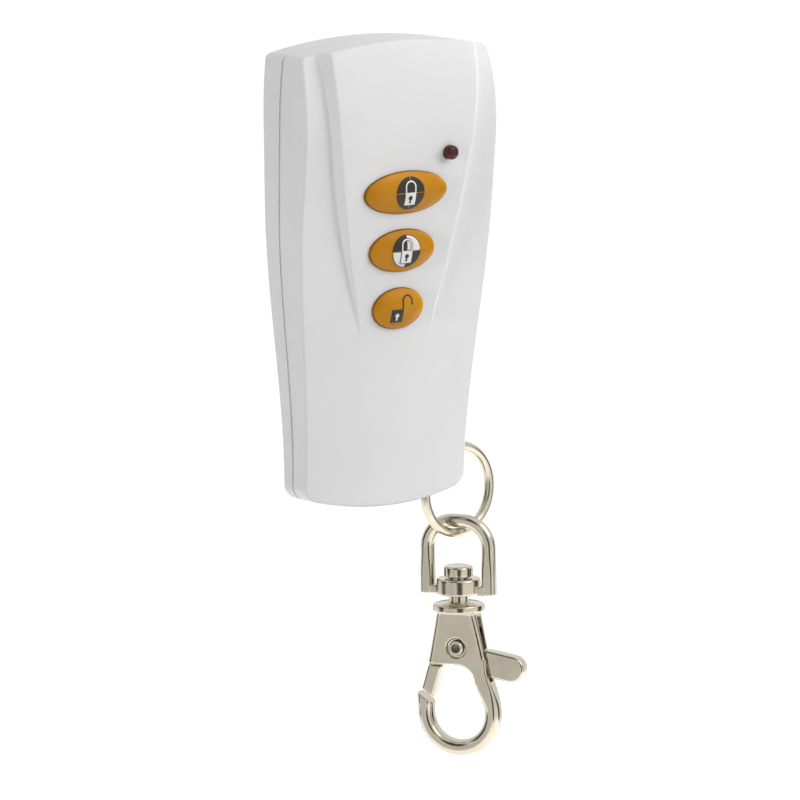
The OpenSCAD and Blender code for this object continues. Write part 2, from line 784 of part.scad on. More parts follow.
shank_depth = hook_flange_t + 0.4;
head_edge = 0.3;
head_low = collar_top + swivel_play;
module swivel_rivet() {
    shank_low = flange_top - shank_depth;
    color(nickel) at_snap() union() {
        translate([0, 0, shank_low]) cylinder(d = shank_d, h = head_low - shank_low);
        translate([0, 0, head_low]) cylinder(d = head_d, h = head_h - head_edge);
        translate([0, 0, head_low + head_h - head_edge])
            cylinder(d1 = head_d, d2 = head_d - 2 * head_edge, h = head_edge);
    }
}

// A rounded section, w by t, soft on the hook's bar and with crisper corners on its body
bar_soft = 0.65;
body_soft = 0.35;
function soft(v, power) = sign(v) * pow(abs(v), power);
function section(w, t, power) = [for (a = [0:22.5:337.5])
    [w / 2 * soft(cos(a), power), t / 2 * soft(sin(a), power)]];

// Half width of the hook's body, and the middle line of its right arm, at a height
function body_half(z) = (body_w_top + (body_w_low - body_w_top) * (flange_low - z) / body_h) / 2;
function arm_x(z) = let (top = body_w_low / 2 - hook_bar / 2, low = (eye_w + hook_bar) / 2)
    top + (low - top) * ease((eye_top - z) / (eye_top - bend_centre()));
function bend_centre() = eye_low + eye_w / 2;

// The hook's middle line: down the right arm, round the bend and up to the tip
arm_rows = 8;
tip_rows = [1.5, 4];
function hook_path() = let (r = (eye_w + hook_bar) / 2, arm_from = eye_top + 1, c = bend_centre())
    concat([for (i = [0:arm_rows - 1]) let (z = arm_from + (c - arm_from) * i / arm_rows) [arm_x(z), z]],
        [for (a = [0:-15:-180]) [r * cos(a), c + r * sin(a)]],
        [for (z = tip_rows) [-r, c + z]]);
function along(path, i) = let (d = path[min(i + 1, len(path) - 1)] - path[max(i - 1, 0)]) d / norm(d);
function hook_loops(path) = [for (i = [0:len(path) - 1]) let (t = along(path, i))
    [for (p = section(hook_bar, hook_t, bar_soft))
        [path[i][0] + p[0] * t[1], p[1], path[i][1] - p[0] * t[0]]]];

// The web that carries the body into the right arm, under the arch of the eye
web_t = 0.98 * body_t_low;
web_rows = 4;
module eye_web() {
    top = eye_top + over;
    low = eye_top - arch_r;
    outer = [for (i = [0:web_rows]) let (z = top + (low - top) * i / web_rows) [arm_x(z), z]];
    arch = [for (a = [0:15:90]) [arch_r * cos(a), low + arch_r * sin(a)]];
    translate([0, web_t / 2, 0]) rotate([90, 0, 0]) linear_extrude(web_t)
        polygon(concat([[0, top]], outer, arch));
}

module hook_blank() {
    body_rows = [eye_top, (eye_top + flange_low) / 2, flange_low + hook_flange_t / 2];
    union() {
        loft([for (z = body_rows) let (f = clamp01((flange_low - z) / body_h),
            t = body_t_top + (body_t_low - body_t_top) * f)
            [for (p = section(2 * body_half(z), t, body_soft)) [p[0], p[1], z]]]);
        loft(hook_loops(hook_path()));
        eye_web();
        translate([0, 0, flange_low]) cylinder(d = hook_flange_d, h = hook_flange_t);
    }
}

// A rod along the pin's axis
module cross_rod(d, from, to) {
    translate([0, from, pin_z]) rotate([-90, 0, 0]) cylinder(d = d, h = to - from);
}

slot_up = pin_drop - 0.7;
slot_down = 5.4;
pin_len = body_t_top - 0.5;
pin_sink_d = pin_d + 0.8;
pin_sink = pin_len / 2 - 0.1;
module hook_body() {
    color(nickel) at_snap() difference() {
        hook_blank();
        translate([-body_w_low, -slot_w / 2, pin_z - slot_down])
            cube([2 * body_w_low, slot_w, slot_down + slot_up]);
        cross_rod(pin_d, -body_t_top, body_t_top);
        cross_rod(pin_sink_d, -body_t_top, -pin_sink);
        tip_cut();
        translate([0, 0, flange_top - shank_depth]) cylinder(d = shank_d, h = shank_depth + over);
    }
}

// Frees the hook's tip along the circle that the gate's end swings on
module tip_cut() {
    intersection() {
        cross_rod(2 * (gate_reach + gate_gap), -body_t_top, body_t_top);
        translate([-2 * eye_w, -body_t_top, eye_low])
            cube([1.75 * eye_w, 2 * body_t_top, eye_h - over]);
    }
}

// The trigger, drawn about its pin: hub, neck and tab to the right and gate to the lower left
module gate_drawing() {
    intersection() {
        circle(r = gate_reach);
        rotate(-gate_lean) translate([-gate_off - gate_w / 2, -2 * gate_reach])
            square([gate_w, 2 * gate_reach]);
    }
}

neck_x = hub_d / 2 + 0.2;
neck_overlap = 0.5;
module tab_drawing() {
    hub_r = hub_d / 2 - 0.1;
    root = [neck_x, (tab_x - neck_x) * tan(tab_tilt) - tab_drop];
    half = tab_h / 2 / cos(tab_tilt);
    union() {
        translate([tab_x, -tab_drop]) circle(d = tab_h);
        translate([tab_x, -tab_drop]) rotate(-tab_tilt) translate([neck_x - tab_x, -tab_h / 2])
            square([tab_x - neck_x, tab_h]);
        polygon([[0, hub_r], root + [neck_overlap, half], root + [neck_overlap, -half], [0, -hub_r]]);
    }
}

module across(t) {
    translate([0, t / 2, pin_z]) rotate([90, 0, 0]) linear_extrude(t) children();
}

// The spring's recess in the hub, and where the tab and the gate may be thicker than the slot
spring_room = 0.8;
recess_d = hub_d - 1.4;
arm_edge = body_w_low / 2 + 1.1;
gate_edge = eye_top - pin_z - 0.4;
module trigger_lever() {
    color(nickel) at_snap() difference() {
        union() {
            across(lever_t) {
                circle(d = hub_d);
                gate_drawing();
                tab_drawing();
            }
            across(tab_t) difference() {
                tab_drawing();
                translate([-arm_edge, -2 * tab_x]) square([2 * arm_edge, 4 * tab_x]);
            }
            across(tab_t) difference() {
                gate_drawing();
                translate([-2 * gate_reach, gate_edge]) square(4 * gate_reach);
            }
        }
        cross_rod(pin_d + 2 * turn_gap, -tab_t, tab_t);
        cross_rod(recess_d, -tab_t, spring_room - lever_t / 2);
    }
}

dimple = 0.25;
dimple_d = 0.6 * pin_d;
module trigger_pin() {
    color(nickel) at_snap() difference() {
        cross_rod(pin_d, -pin_len / 2, pin_len / 2);
        cross_rod(dimple_d, -pin_len / 2 - over, -pin_len / 2 + dimple);
    }
}

// The torsion coil round the pin, in the recess of the trigger's hub
coil_turns = 1.6;
coil_step = 20;
coil_pitch = spring_wire + 0.06;
coil_r = (pin_d + recess_d) / 4;
coil_from = spring_wire / 2 - lever_t / 2;
function coil_loops() = [for (a = [0:coil_step:360 * coil_turns]) let (n = [cos(a), 0, sin(a)])
    [for (b = [0:60:300]) [0, coil_from + coil_pitch * a / 360, pin_z]
        + n * (coil_r + spring_wire / 2 * cos(b)) + [0, spring_wire / 2 * sin(b), 0]]];
module trigger_spring() {
    color("gray") at_snap() loft(coil_loops());
}

front_cover();
rear_cover();
arm_button();
part_arm_button();
disarm_button();
arm_switch();
part_arm_switch();
disarm_switch();
arm_plunger();
part_arm_plunger();
disarm_plunger();
main_board();
led_lamp();
led_leads();
battery();
positive_contact();
negative_contact();
encoder_chip();
saw_resonator();
chip_components();
case_screws();
key_ring();
swivel_bail();
swivel_rivet();
hook_body();
trigger_lever();
trigger_pin();
trigger_spring();
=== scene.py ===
import math

import bmesh
import bpy
import numpy as np
from mathutils import Matrix, Vector


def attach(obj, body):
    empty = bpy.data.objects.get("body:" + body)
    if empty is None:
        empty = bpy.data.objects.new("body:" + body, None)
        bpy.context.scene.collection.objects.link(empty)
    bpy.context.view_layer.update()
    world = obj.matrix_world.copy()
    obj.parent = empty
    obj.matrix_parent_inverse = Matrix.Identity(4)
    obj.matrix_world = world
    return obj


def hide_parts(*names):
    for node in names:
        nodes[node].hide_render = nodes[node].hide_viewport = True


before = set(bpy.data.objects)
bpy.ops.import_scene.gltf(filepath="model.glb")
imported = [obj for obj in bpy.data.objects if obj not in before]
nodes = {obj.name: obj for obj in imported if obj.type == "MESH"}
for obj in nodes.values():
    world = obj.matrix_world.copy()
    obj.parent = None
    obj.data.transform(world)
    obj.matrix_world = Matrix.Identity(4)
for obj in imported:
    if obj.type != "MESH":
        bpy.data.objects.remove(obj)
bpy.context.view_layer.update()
mm = 0.001
axisR = 0.05  # a turned profile ends this far from its axis
print("frame:", len(nodes), "nodes")


# mesh helpers, all sizes in millimetres

def newThing(name, data):
    thing = bpy.data.objects.new(name, data)
    bpy.context.scene.collection.objects.link(thing)
    return thing


def newMesh(name, points, faces):
    mesh = bpy.data.meshes.new(name)
    mesh.from_pydata((np.asarray(points, float) * mm).tolist(), [],
                     [list(map(int, f)) for f in faces])
    mesh.validate()
    draft = bmesh.new()
    draft.from_mesh(mesh)
    bmesh.ops.recalc_face_normals(draft, faces=draft.faces)
    draft.to_mesh(mesh)
    draft.free()
    return newThing(name, mesh)


def settle(piece):  # bakes the modifiers into the mesh
    graph = bpy.context.evaluated_depsgraph_get()
    baked = bpy.data.meshes.new_from_object(piece.evaluated_get(graph))
    baked.name = piece.name
    piece.modifiers.clear()
    piece.data = baked


def carve(piece, cutter):
    cut = piece.modifiers.new("cut", "BOOLEAN")
    cut.object = cutter
    cut.operation = "DIFFERENCE"
    cut.solver = "MANIFOLD"
    settle(piece)
    bpy.data.objects.remove(cutter)


def smooth(piece, angle=35):
    piece.data.shade_smooth()
    piece.data.set_sharp_from_angle(angle=math.radians(angle))


def place(piece, body, material, node):
    piece.data.materials.clear()
    piece.data.materials.append(material)
    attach(piece, body)
    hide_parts(node)
    return piece


def around(steps):  # angles of a full turn
    return np.linspace(0, 2 * np.pi, steps, endpoint=False)


def tube(loops, closed=False):  # a skin through loops of points, capped at both ends
    loops = [np.asarray(l, float) for l in loops]
    n, last = len(loops[0]), len(loops) - 1
    faces = []
    for i in range(last + (1 if closed else 0)):
        a, b = i * n, (i + 1) % (last + 1) * n
        faces += [(a + k, a + (k + 1) % n, b + (k + 1) % n, b + k) for k in range(n)]
    if not closed:
        faces += [tuple(range(n - 1, -1, -1)), tuple(last * n + k for k in range(n))]
    return np.vstack(loops), faces


def joined(shells):  # several point and face lists as one
    points, faces, base = [], [], 0
    for p, f in shells:
        points.append(p)
        faces += [tuple(base + k for k in face) for face in f]
        base += len(p)
    return np.vstack(points), faces


def gridFaces(rows, cols, across=True):  # the faces of a grid of points, row by row
    cells = [(i * cols + k, (i + 1) * cols + k) for i in range(rows - 1) for k in range(cols - 1)]
    return [(a, a + 1, b + 1, b) if across else (a, b, b + 1, a + 1) for a, b in cells]


def lathe(profile, steps=72):  # profile of (r, z) turned about Z
    return tube([[(r * np.cos(a), r * np.sin(a), z) for a in around(steps)] for r, z in profile])


def spun(profile, x, z, steps=48):  # profile of (r, y) turned about a line along Y
    return tube([[(x + r * np.cos(a), y, z + r * np.sin(a)) for a in around(steps)]
                 for r, y in profile])


def rounded(r, zLow, zHigh, low, high, steps=5):  # profile of a disc with rounded edges
    a = np.linspace(0, np.pi / 2, steps)
    bottom = [(r - low + low * np.sin(t), zLow + low - low * np.cos(t)) for t in a]
    top = [(r - high + high * np.cos(t), zHigh - high + high * np.sin(t)) for t in a]
    return bottom + top


def slab(outline, low, high):  # an outline of (u, z) from n = low to n = high
    return tube([[(u, low, z) for u, z in outline], [(u, high, z) for u, z in outline]])


def oblong(half, low, high):
    return [(-half, low), (half, low), (half, high), (-half, high)]


def arc(cx, cz, r, fromDeg, toDeg, steps=24):
    a = np.radians(np.linspace(fromDeg, toDeg, steps))
    return np.column_stack([cx + r * np.cos(a), cz + r * np.sin(a)])


# shader groups, each with a colour, a roughness and a height

groupInputs = {"Colour": (0.8, 0.8, 0.8, 1), "Shade": (0.7, 0.7, 0.7, 1), "Tone Scale": 60,
               "Relief Scale": 5000, "Rough Low": 0.4, "Rough High": 0.6}
groupOutputs = {"Colour": "NodeSocketColor", "Roughness": "NodeSocketFloat",
                "Height": "NodeSocketFloat"}


def addNode(tree, kind, values=None, **settings):
    node = tree.nodes.new(kind)
    for key, value in settings.items():
        setattr(node, key, value)
    for key, value in (values or {}).items():
        node.inputs[key].default_value = value
    return node


def startGroup(name, toneDetail, toneEnds, reliefKind):  # two colours mixed by broad noise
    group = bpy.data.node_groups.new(name, "ShaderNodeTree")
    for label, value in groupInputs.items():
        kind = "NodeSocketColor" if isinstance(value, tuple) else "NodeSocketFloat"
        group.interface.new_socket(label, in_out="INPUT", socket_type=kind).default_value = value
    for label, kind in groupOutputs.items():
        group.interface.new_socket(label, in_out="OUTPUT", socket_type=kind)
    given, out = group.nodes.new("NodeGroupInput"), group.nodes.new("NodeGroupOutput")
    spot = addNode(group, "ShaderNodeTexCoord")
    tone = addNode(group, "ShaderNodeTexNoise", {"Detail": toneDetail})
    spread = addNode(group, "ShaderNodeMapRange", {"From Min": toneEnds[0], "From Max": toneEnds[1]})
    mix = addNode(group, "ShaderNodeMix", data_type="RGBA")
    rough = addNode(group, "ShaderNodeMapRange")
    relief = addNode(group, reliefKind)
    link = group.links.new
    for texture, scale in ((tone, "Tone Scale"), (relief, "Relief Scale")):
        link(spot.outputs["Object"], texture.inputs["Vector"])
        link(given.outputs[scale], texture.inputs["Scale"])
    link(tone.outputs["Fac"], spread.inputs["Value"])
    link(spread.outputs["Result"], mix.inputs["Factor"])
    link(given.outputs["Colour"], mix.inputs["A"])
    link(given.outputs["Shade"], mix.inputs["B"])
    link(given.outputs["Rough Low"], rough.inputs["To Min"])
    link(given.outputs["Rough High"], rough.inputs["To Max"])
    link(mix.outputs["Result"], out.inputs["Colour"])
    link(rough.outputs["Result"], out.inputs["Roughness"])
    return group, out, spread, rough, relief


def makeMouldGrain():  # spark-eroded grain with a faint drift of tone, for moulded pieces
    group, out, _, rough, grain = startGroup("mouldGrain", 2, (0.35, 0.65), "ShaderNodeTexNoise")
    grain.inputs["Detail"].default_value = 3
    rough.inputs["From Min"].default_value, rough.inputs["From Max"].default_value = 0.3, 0.7
    group.links.new(grain.outputs["Fac"], rough.inputs["Value"])
    group.links.new(grain.outputs["Fac"], out.inputs["Height"])
    return group


def makePlateWear():  # plated casting: soft clouding, tiny pits and rubbed roughness
    group, out, spread, rough, pits = startGroup("plateWear", 4, (0.3, 0.7), "ShaderNodeTexVoronoi")
    deep = addNode(group, "ShaderNodeMapRange", {"From Min": 0.0, "From Max": 0.25})
    group.links.new(spread.outputs["Result"], rough.inputs["Value"])
    group.links.new(pits.outputs["Distance"], deep.inputs["Value"])
    group.links.new(deep.outputs["Result"], out.inputs["Height"])
    return group


mouldGrain, plateWear = makeMouldGrain(), makePlateWear()


def finishOf(name, group, colour, shade, tone, relief, rough, bump, **shader):
    material = bpy.data.materials.new(name)
    material.use_nodes = True
    tree = material.node_tree
    surface = tree.nodes["Principled BSDF"]
    for key, value in shader.items():
        surface.inputs[key.replace("_", " ")].default_value = value
    effect = addNode(tree, "ShaderNodeGroup", node_tree=group)
    for key, value in zip(groupInputs, ((*colour, 1), (*shade, 1), tone, relief, *rough)):
        effect.inputs[key].default_value = value
    raised = addNode(tree, "ShaderNodeBump", {"Strength": bump[0], "Distance": bump[1]})
    tree.links.new(effect.outputs["Colour"], surface.inputs["Base Color"])
    tree.links.new(effect.outputs["Roughness"], surface.inputs["Roughness"])
    tree.links.new(effect.outputs["Height"], raised.inputs["Height"])
    tree.links.new(raised.outputs["Normal"], surface.inputs["Normal"])
    return material


def moulded(name, colour, shade, grain=5000, drift=60, rough=(0.4, 0.6), bump=(0.3, 2e-5), **shader):
    return finishOf(name, mouldGrain, colour, shade, drift, grain, rough, bump, **shader)


def plated(name, bright, dull, cloud, pits, rough, bump):
    return finishOf(name, plateWear, bright, dull, cloud, pits, rough, bump, Metallic=1.0)


caseWhite = moulded("caseWhite", (0.80, 0.80, 0.80), (0.77, 0.77, 0.772), grain=4200, drift=55,
                    rough=(0.42, 0.58), bump=(0.35, 2e-5))
amberLens = moulded("amberLens", (0.60, 0.27, 0.014), (0.53, 0.228, 0.009), grain=2500, drift=160,
                    rough=(0.12, 0.18), bump=(0.03, 1e-5), Specular_IOR_Level=0.12,
                    Subsurface_Weight=0.5, Subsurface_Radius=(1.0, 0.4, 0.05), Subsurface_Scale=0.002)
# painted shade: a darker amber for the dome's wall and outer rows, standing in for the dark edge of the
# translucent dome
amberPaintedShadeRim = moulded("amberPaintedShadeRim", (0.33, 0.135, 0.007), (0.27, 0.108, 0.005), grain=2500, drift=160,
                   rough=(0.14, 0.22), bump=(0.03, 1e-5), Specular_IOR_Level=0.12)
inkDark = moulded("inkDark", (0.034, 0.030, 0.027), (0.028, 0.025, 0.022), grain=6000, drift=300,
                  rough=(0.32, 0.45), bump=(0.05, 4e-6), Specular_IOR_Level=0.25)
inkWhite = moulded("inkWhite", (0.82, 0.81, 0.78), (0.78, 0.77, 0.74), grain=6000, drift=300,
                   rough=(0.28, 0.40), bump=(0.05, 4e-6))
lampLens = moulded("lampLens", (0.085, 0.016, 0.010), (0.050, 0.009, 0.006), grain=2500, drift=400,
                   rough=(0.18, 0.26), bump=(0.03, 1e-5), Coat_Weight=0.1, Coat_Roughness=0.08,
                   Specular_IOR_Level=0.2)
nickel = plated("nickel", (0.60, 0.555, 0.448), (0.52, 0.478, 0.382), cloud=260, pits=900,
                rough=(0.12, 0.21), bump=(0.12, 1.2e-5))
# painted shade: a dark plated finish for the pin's dimple, standing in for the shade inside the hole
pitPaintedShade = plated("pitPaintedShade", (0.17, 0.155, 0.125), (0.10, 0.09, 0.07), cloud=1200, pits=2500,
                  rough=(0.35, 0.5), bump=(0.3, 2e-5))
tinned = plated("tinned", (0.66, 0.65, 0.62), (0.52, 0.51, 0.49), cloud=400, pits=1800,
                rough=(0.28, 0.42), bump=(0.10, 8e-6))
goldLid = plated("goldLid", (0.76, 0.58, 0.28), (0.62, 0.46, 0.21), cloud=400, pits=1800,
                 rough=(0.25, 0.38), bump=(0.08, 8e-6))
boardMask = moulded("boardMask", (0.020, 0.14, 0.050), (0.014, 0.10, 0.036), grain=1800, drift=220,
                    rough=(0.25, 0.36), bump=(0.10, 1e-5))
switchBlack = moulded("switchBlack", (0.028, 0.028, 0.030), (0.020, 0.020, 0.021), drift=200,
                      rough=(0.5, 0.65), bump=(0.3, 1e-5))
chipBlack = moulded("chipBlack", (0.022, 0.022, 0.024), (0.016, 0.016, 0.018), grain=6000, drift=200,
                    rough=(0.55, 0.7), bump=(0.3, 1e-5))
sleeveGrey = moulded("sleeveGrey", (0.20, 0.20, 0.22), (0.16, 0.16, 0.18), grain=2500, drift=120,
                     rough=(0.25, 0.36), bump=(0.05, 1e-5))
firedTan = moulded("firedTan", (0.45, 0.33, 0.20), (0.38, 0.27, 0.16), drift=400,
                   rough=(0.45, 0.6), bump=(0.2, 1e-5))
print("materials ready")


# case, drawn with the same curves as the moulded shells: x across, h up from the foot

caseShape = dict(
    height=74.0, widthTop=36.1, widthFoot=30.4, topIn=0.6, topReach=12.0, flareLow=4.5, flareHigh=49.0,
    topBow=1.9, footBow=2.2, bowReach=20.0, cornerTop=1.0, cornerFoot=2.2, leastCorner=0.5, edgeR=0.5,
    leastEdge=0.3, wall=1.4, backT=1.2, backRound=0.7, partTop=5.6, partFoot=2.8, deepTop=13.1,
    deepFoot=6.3, deepHeight=63.5, sweep=1.3, roll=4.0, panelRoll=3.3, rollHeight=17.5, crown=1.2,
    panelCrown=0.35, panelTop=26.7, panelLow=12.7, panelRise=1.3, panelFade=27.5, panelFull=55.1,
    riserRun=0.85, leastRise=0.4, riserIn=0.45, riserSoft=(0.1, 0.3), groove=0.22, grooveDeep=0.35,
    grooveTop=0.05, grooveReach=2.7, grooveRun=0.8, pocketIn=2.1, pocketTo=14.0, lap=1.0, cutReach=12.0)
gridRows = dict(edge=5, corner=4, middle=45)
gridColumns = dict(panel=9, riser=4, shoulder=4, edge=4)
footZ = -caseShape["height"] / 2


def ease(t):
    return (1 - np.cos(np.pi * np.clip(t, 0, 1))) / 2


def ramp(t):  # a straight slope, softer at its foot than at its edge
    edge, foot = caseShape["riserSoft"]
    t = np.clip(t, 0, 1)
    slope = 2 / (2 - edge - foot)
    early, late = slope * t * t / (2 * edge), 1 - slope * (1 - t) ** 2 / (2 * foot)
    return np.where(t < edge, early, np.where(t > 1 - foot, late, slope * (t - edge / 2)))


def fall(r, d):  # how far an edge rounded by r has dropped at d from its side
    return np.where(d >= r, 0, r - np.sqrt(np.maximum(r * r - (r - d) ** 2, 0)))


def nearTop(h, reach):
    return np.clip((h - caseShape["height"] + reach) / reach, 0, 1) ** 2


def fromEnd(h):
    return np.minimum(h, caseShape["height"] - h)


def halfWidth(h, c=caseShape):
    flare = ease((h - c["flareLow"]) / (c["flareHigh"] - c["flareLow"]))
    width = c["widthFoot"] + (c["widthTop"] - c["widthFoot"]) * flare
    return width / 2 - c["topIn"] * nearTop(h, c["topReach"])


def shoulder(h, c=caseShape):
    up = (np.maximum(h, 0) / c["deepHeight"]) ** c["sweep"]
    return c["deepFoot"] + (c["deepTop"] - c["deepFoot"]) * up - c["roll"] * nearTop(h, c["rollHeight"])


def panelLift(h, c=caseShape):
    up = np.clip((h - c["panelFade"]) / (c["panelFull"] - c["panelFade"]), 0, 1)
    return np.sin(np.pi / 2 * up)


def panelRise(h, c=caseShape):
    return c["panelRise"] * panelLift(h) + (c["roll"] - c["panelRoll"]) * nearTop(h, c["rollHeight"])


def panelHalf(h, c=caseShape):
    up = np.clip((h - c["panelFade"]) / (c["height"] - c["panelFade"]), 0, 1)
    return (c["panelLow"] + (c["panelTop"] - c["panelLow"]) * np.sin(np.pi / 2 * up)) / 2


def riserRun(h, c=caseShape):
    return c["riserRun"] * np.maximum(panelRise(h), c["leastRise"] * c["panelRise"])


def crowned(x, h, c=caseShape):
    height = c["crown"] + (c["panelCrown"] - c["crown"]) * panelLift(h)
    return height * (1 - (x / halfWidth(h)) ** 2)


def panelSkin(x, h):
    return shoulder(h) + crowned(x, h) + panelRise(h)


def parting(h, c=caseShape):
    return c["partFoot"] + (c["partTop"] - c["partFoot"]) * h / c["height"]


def bowed(x, h, c=caseShape):
    return h + (x / halfWidth(h)) ** 2 * (
        c["footBow"] * np.clip(1 - h / c["bowReach"], 0, 1) ** 2
        - c["topBow"] * np.clip(1 - (c["height"] - h) / c["bowReach"], 0, 1) ** 2)


def edgeOf(s):
    return max(caseShape["edgeR"] - s, caseShape["leastEdge"])


def cornerAt(h, s, c=caseShape):
    corner = np.where(h < c["height"] / 2, c["cornerFoot"], c["cornerTop"])
    return np.maximum(corner - s, c["leastCorner"])


def quarter(r, steps):
    return r * (1 - np.cos(np.linspace(0, np.pi / 2, steps)))


def rowHeights(s, fine):
    e, high = edgeOf(s), caseShape["height"]
    rows = {part: count * fine for part, count in gridRows.items()}
    foot, top = (np.concatenate([quarter(e, rows["edge"]),
                                 np.linspace(e, float(cornerAt(h, s)), rows["corner"])[1:]])
                 for h in (0, high))
    middle = np.linspace(s + foot[-1], high - s - top[-1], rows["middle"])[1:-1]
    return np.concatenate([s + foot, middle, high - s - top[::-1]])


def columns(h, s, fine):
    cols = {part: count * fine for part, count in gridColumns.items()}
    p = panelHalf(h) - caseShape["riserIn"] * s
    foot, e = p + riserRun(h), edgeOf(s)
    last = halfWidth(h) - s - fall(cornerAt(h, s), fromEnd(h) - s)
    half = np.concatenate([np.linspace(0, p, cols["panel"]), np.linspace(p, foot, cols["riser"])[1:],
                           np.linspace(foot, last - e, cols["shoulder"])[1:],
                           last - quarter(e, cols["edge"])[::-1][1:]])
    return np.concatenate([-half[:0:-1], half])


def skinDepth(x, h, s):
    c, ex, ez = cornerAt(h, s), halfWidth(h) - s - abs(x), fromEnd(h) - s
    rim = np.where((ex < c) & (ez < c), c - np.hypot(c - ex, c - ez), np.minimum(ex, ez))
    step = ramp((abs(x) - panelHalf(h) + caseShape["riserIn"] * s) / riserRun(h))
    return (shoulder(h) + crowned(x, h) - s + panelRise(h) * (1 - step)
            - fall(edgeOf(s), np.maximum(rim, 0)))


def outlinePlaces(rows, cols):  # round the grid's rim from the middle of the foot, up the right side
    mid = cols // 2
    return ([(0, j) for j in range(mid, cols)] + [(i, cols - 1) for i in range(1, rows)]
            + [(rows - 1, j) for j in range(cols - 2, -1, -1)]
            + [(i, 0) for i in range(rows - 2, -1, -1)] + [(0, j) for j in range(1, mid)])


def outline(s, fine):
    heights = rowHeights(s, fine)
    grid = [columns(h, s, fine) for h in heights]
    places = outlinePlaces(len(heights), len(grid[0]))
    return np.array([(grid[i][j], bowed(grid[i][j], heights[i])) for i, j in places])


def atDepth(points, depth):
    y = np.broadcast_to(-np.asarray(depth, float), len(points))
    return np.column_stack([points[:, 0], y, footZ + points[:, 1]])


def grooveAt(h, c=caseShape):  # the open seam, closer across the top of the case
    near = np.clip((h - c["height"] + c["grooveReach"]) / c["grooveRun"], 0, 1)
    return c["groove"] + (c["grooveTop"] - c["groove"]) * near


def frontBlock(name, s, fine, back=0.0, groove=False):
    heights = rowHeights(s, fine)
    grid = []
    for h in heights:
        x = columns(h, s, fine)
        grid.append(np.column_stack([x, -skinDepth(x, h, s), footZ + bowed(x, h)]))
    rows, cols = len(grid), len(grid[0])
    points, faces = [np.vstack(grid)], gridFaces(rows, cols)
    ring = [i * cols + j for i, j in outlinePlaces(rows, cols)]
    base = rows * cols
    deep = s + caseShape["grooveDeep"]
    for inset, ahead in [(s, 1), (deep, 1), (deep, 0)] if groove else [(s, 0)]:
        edge = outline(inset, fine)
        points.append(atDepth(edge, parting(edge[:, 1]) + ahead * grooveAt(edge[:, 1]) - back))
        n = len(ring)
        faces += [(ring[(k + 1) % n], ring[k], base + k, base + (k + 1) % n) for k in range(n)]
        ring = list(range(base, base + n))
        base += n
    faces.append(tuple(ring[::-1]))
    return newMesh(name, np.vstack(points), faces)


# ring, and its way through the corner of the case

ringShape = dict(r=7.0, wire=1.5, x=16.35, depth=2.5, z=-36.7, turn=9.0, swing=20.0, gap=0.2,
                 bayReach=9.0, turns=144, wireSteps=28)
ringInner = ringShape["r"] - ringShape["wire"] / 2
pivotZ = ringShape["z"] + ringInner


def inRingPlane(points):  # (u, n, z) about the ring's pivot to the frame
    a = math.radians(ringShape["turn"])
    p = np.asarray(points, float)
    return np.column_stack([ringShape["x"] + p[:, 0] * math.cos(a) - p[:, 1] * math.sin(a),
                            -ringShape["depth"] + p[:, 0] * math.sin(a) + p[:, 1] * math.cos(a),
                            pivotZ + p[:, 2]])


def ringPost(name, halfDepth):  # the post that stays inside the ring at both ends of its swing
    r, a = ringInner - ringShape["gap"], math.radians(ringShape["swing"])
    d, c = ringInner * math.sin(a), -ringInner * math.cos(a)
    wide = math.degrees(math.acos(d / r))
    lens = np.vstack([arc(-d, c, r, -wide, wide, 33)[:-1],
                      arc(d, c, r, 180 - wide, 180 + wide, 33)[:-1]])
    points, faces = slab(lens, halfDepth, -halfDepth)
    return newMesh(name, inRingPlane(points), faces)


def ringBay(name):  # the slot that the ring swings in
    wire, gap = ringShape["wire"], ringShape["gap"]
    half = wire / 2 + gap
    sideways = ringInner * math.sin(math.radians(ringShape["swing"]))
    reach = ringShape["r"] + wire / 2 + sideways + gap
    points, faces = slab(oblong(reach, -2 * ringShape["r"], 2 * wire - 2 * gap), half, -half)
    bay = newMesh(name, inRingPlane(points), faces)
    carve(bay, ringPost("bayPost", ringShape["bayReach"]))
    return bay


def buildRing():
    r, w = ringShape["r"], ringShape["wire"] / 2
    loops = []
    for a in around(ringShape["turns"]):
        section = [(r + w * math.cos(b), w * math.sin(b)) for b in around(ringShape["wireSteps"])]
        loops.append([(q * math.cos(a), n, q * math.sin(a) - ringInner) for q, n in section])
    points, faces = tube(loops, closed=True)
    ring = newMesh("keyRingWire", inRingPlane(points), [f[::-1] for f in faces])
    smooth(ring, 60)
    return place(ring, "ring", nickel, "key_ring")


# screws

screwShape = dict(places=(-11.0, 11.0), h=23.0, d=2.0, length=5.0, headD=3.8, headGap=0.2,
                  headRound=(0.02, 0.25), bossD=4.6, bossFrom=3.0, footBossD=5.6, footBossTo=2.0,
                  sink=1.2, below=0.1, crossW=0.5, crossLen=2.2, crossDepth=0.7, crossAhead=0.5)


def atScrews(piece, name, d, fromDepth, toDepth):  # cuts a round hole at each screw
    for x in screwShape["places"]:
        rod = spun([(d / 2, -fromDepth), (d / 2, -toDepth)], x, footZ + screwShape["h"])
        carve(piece, newMesh(name, *rod))


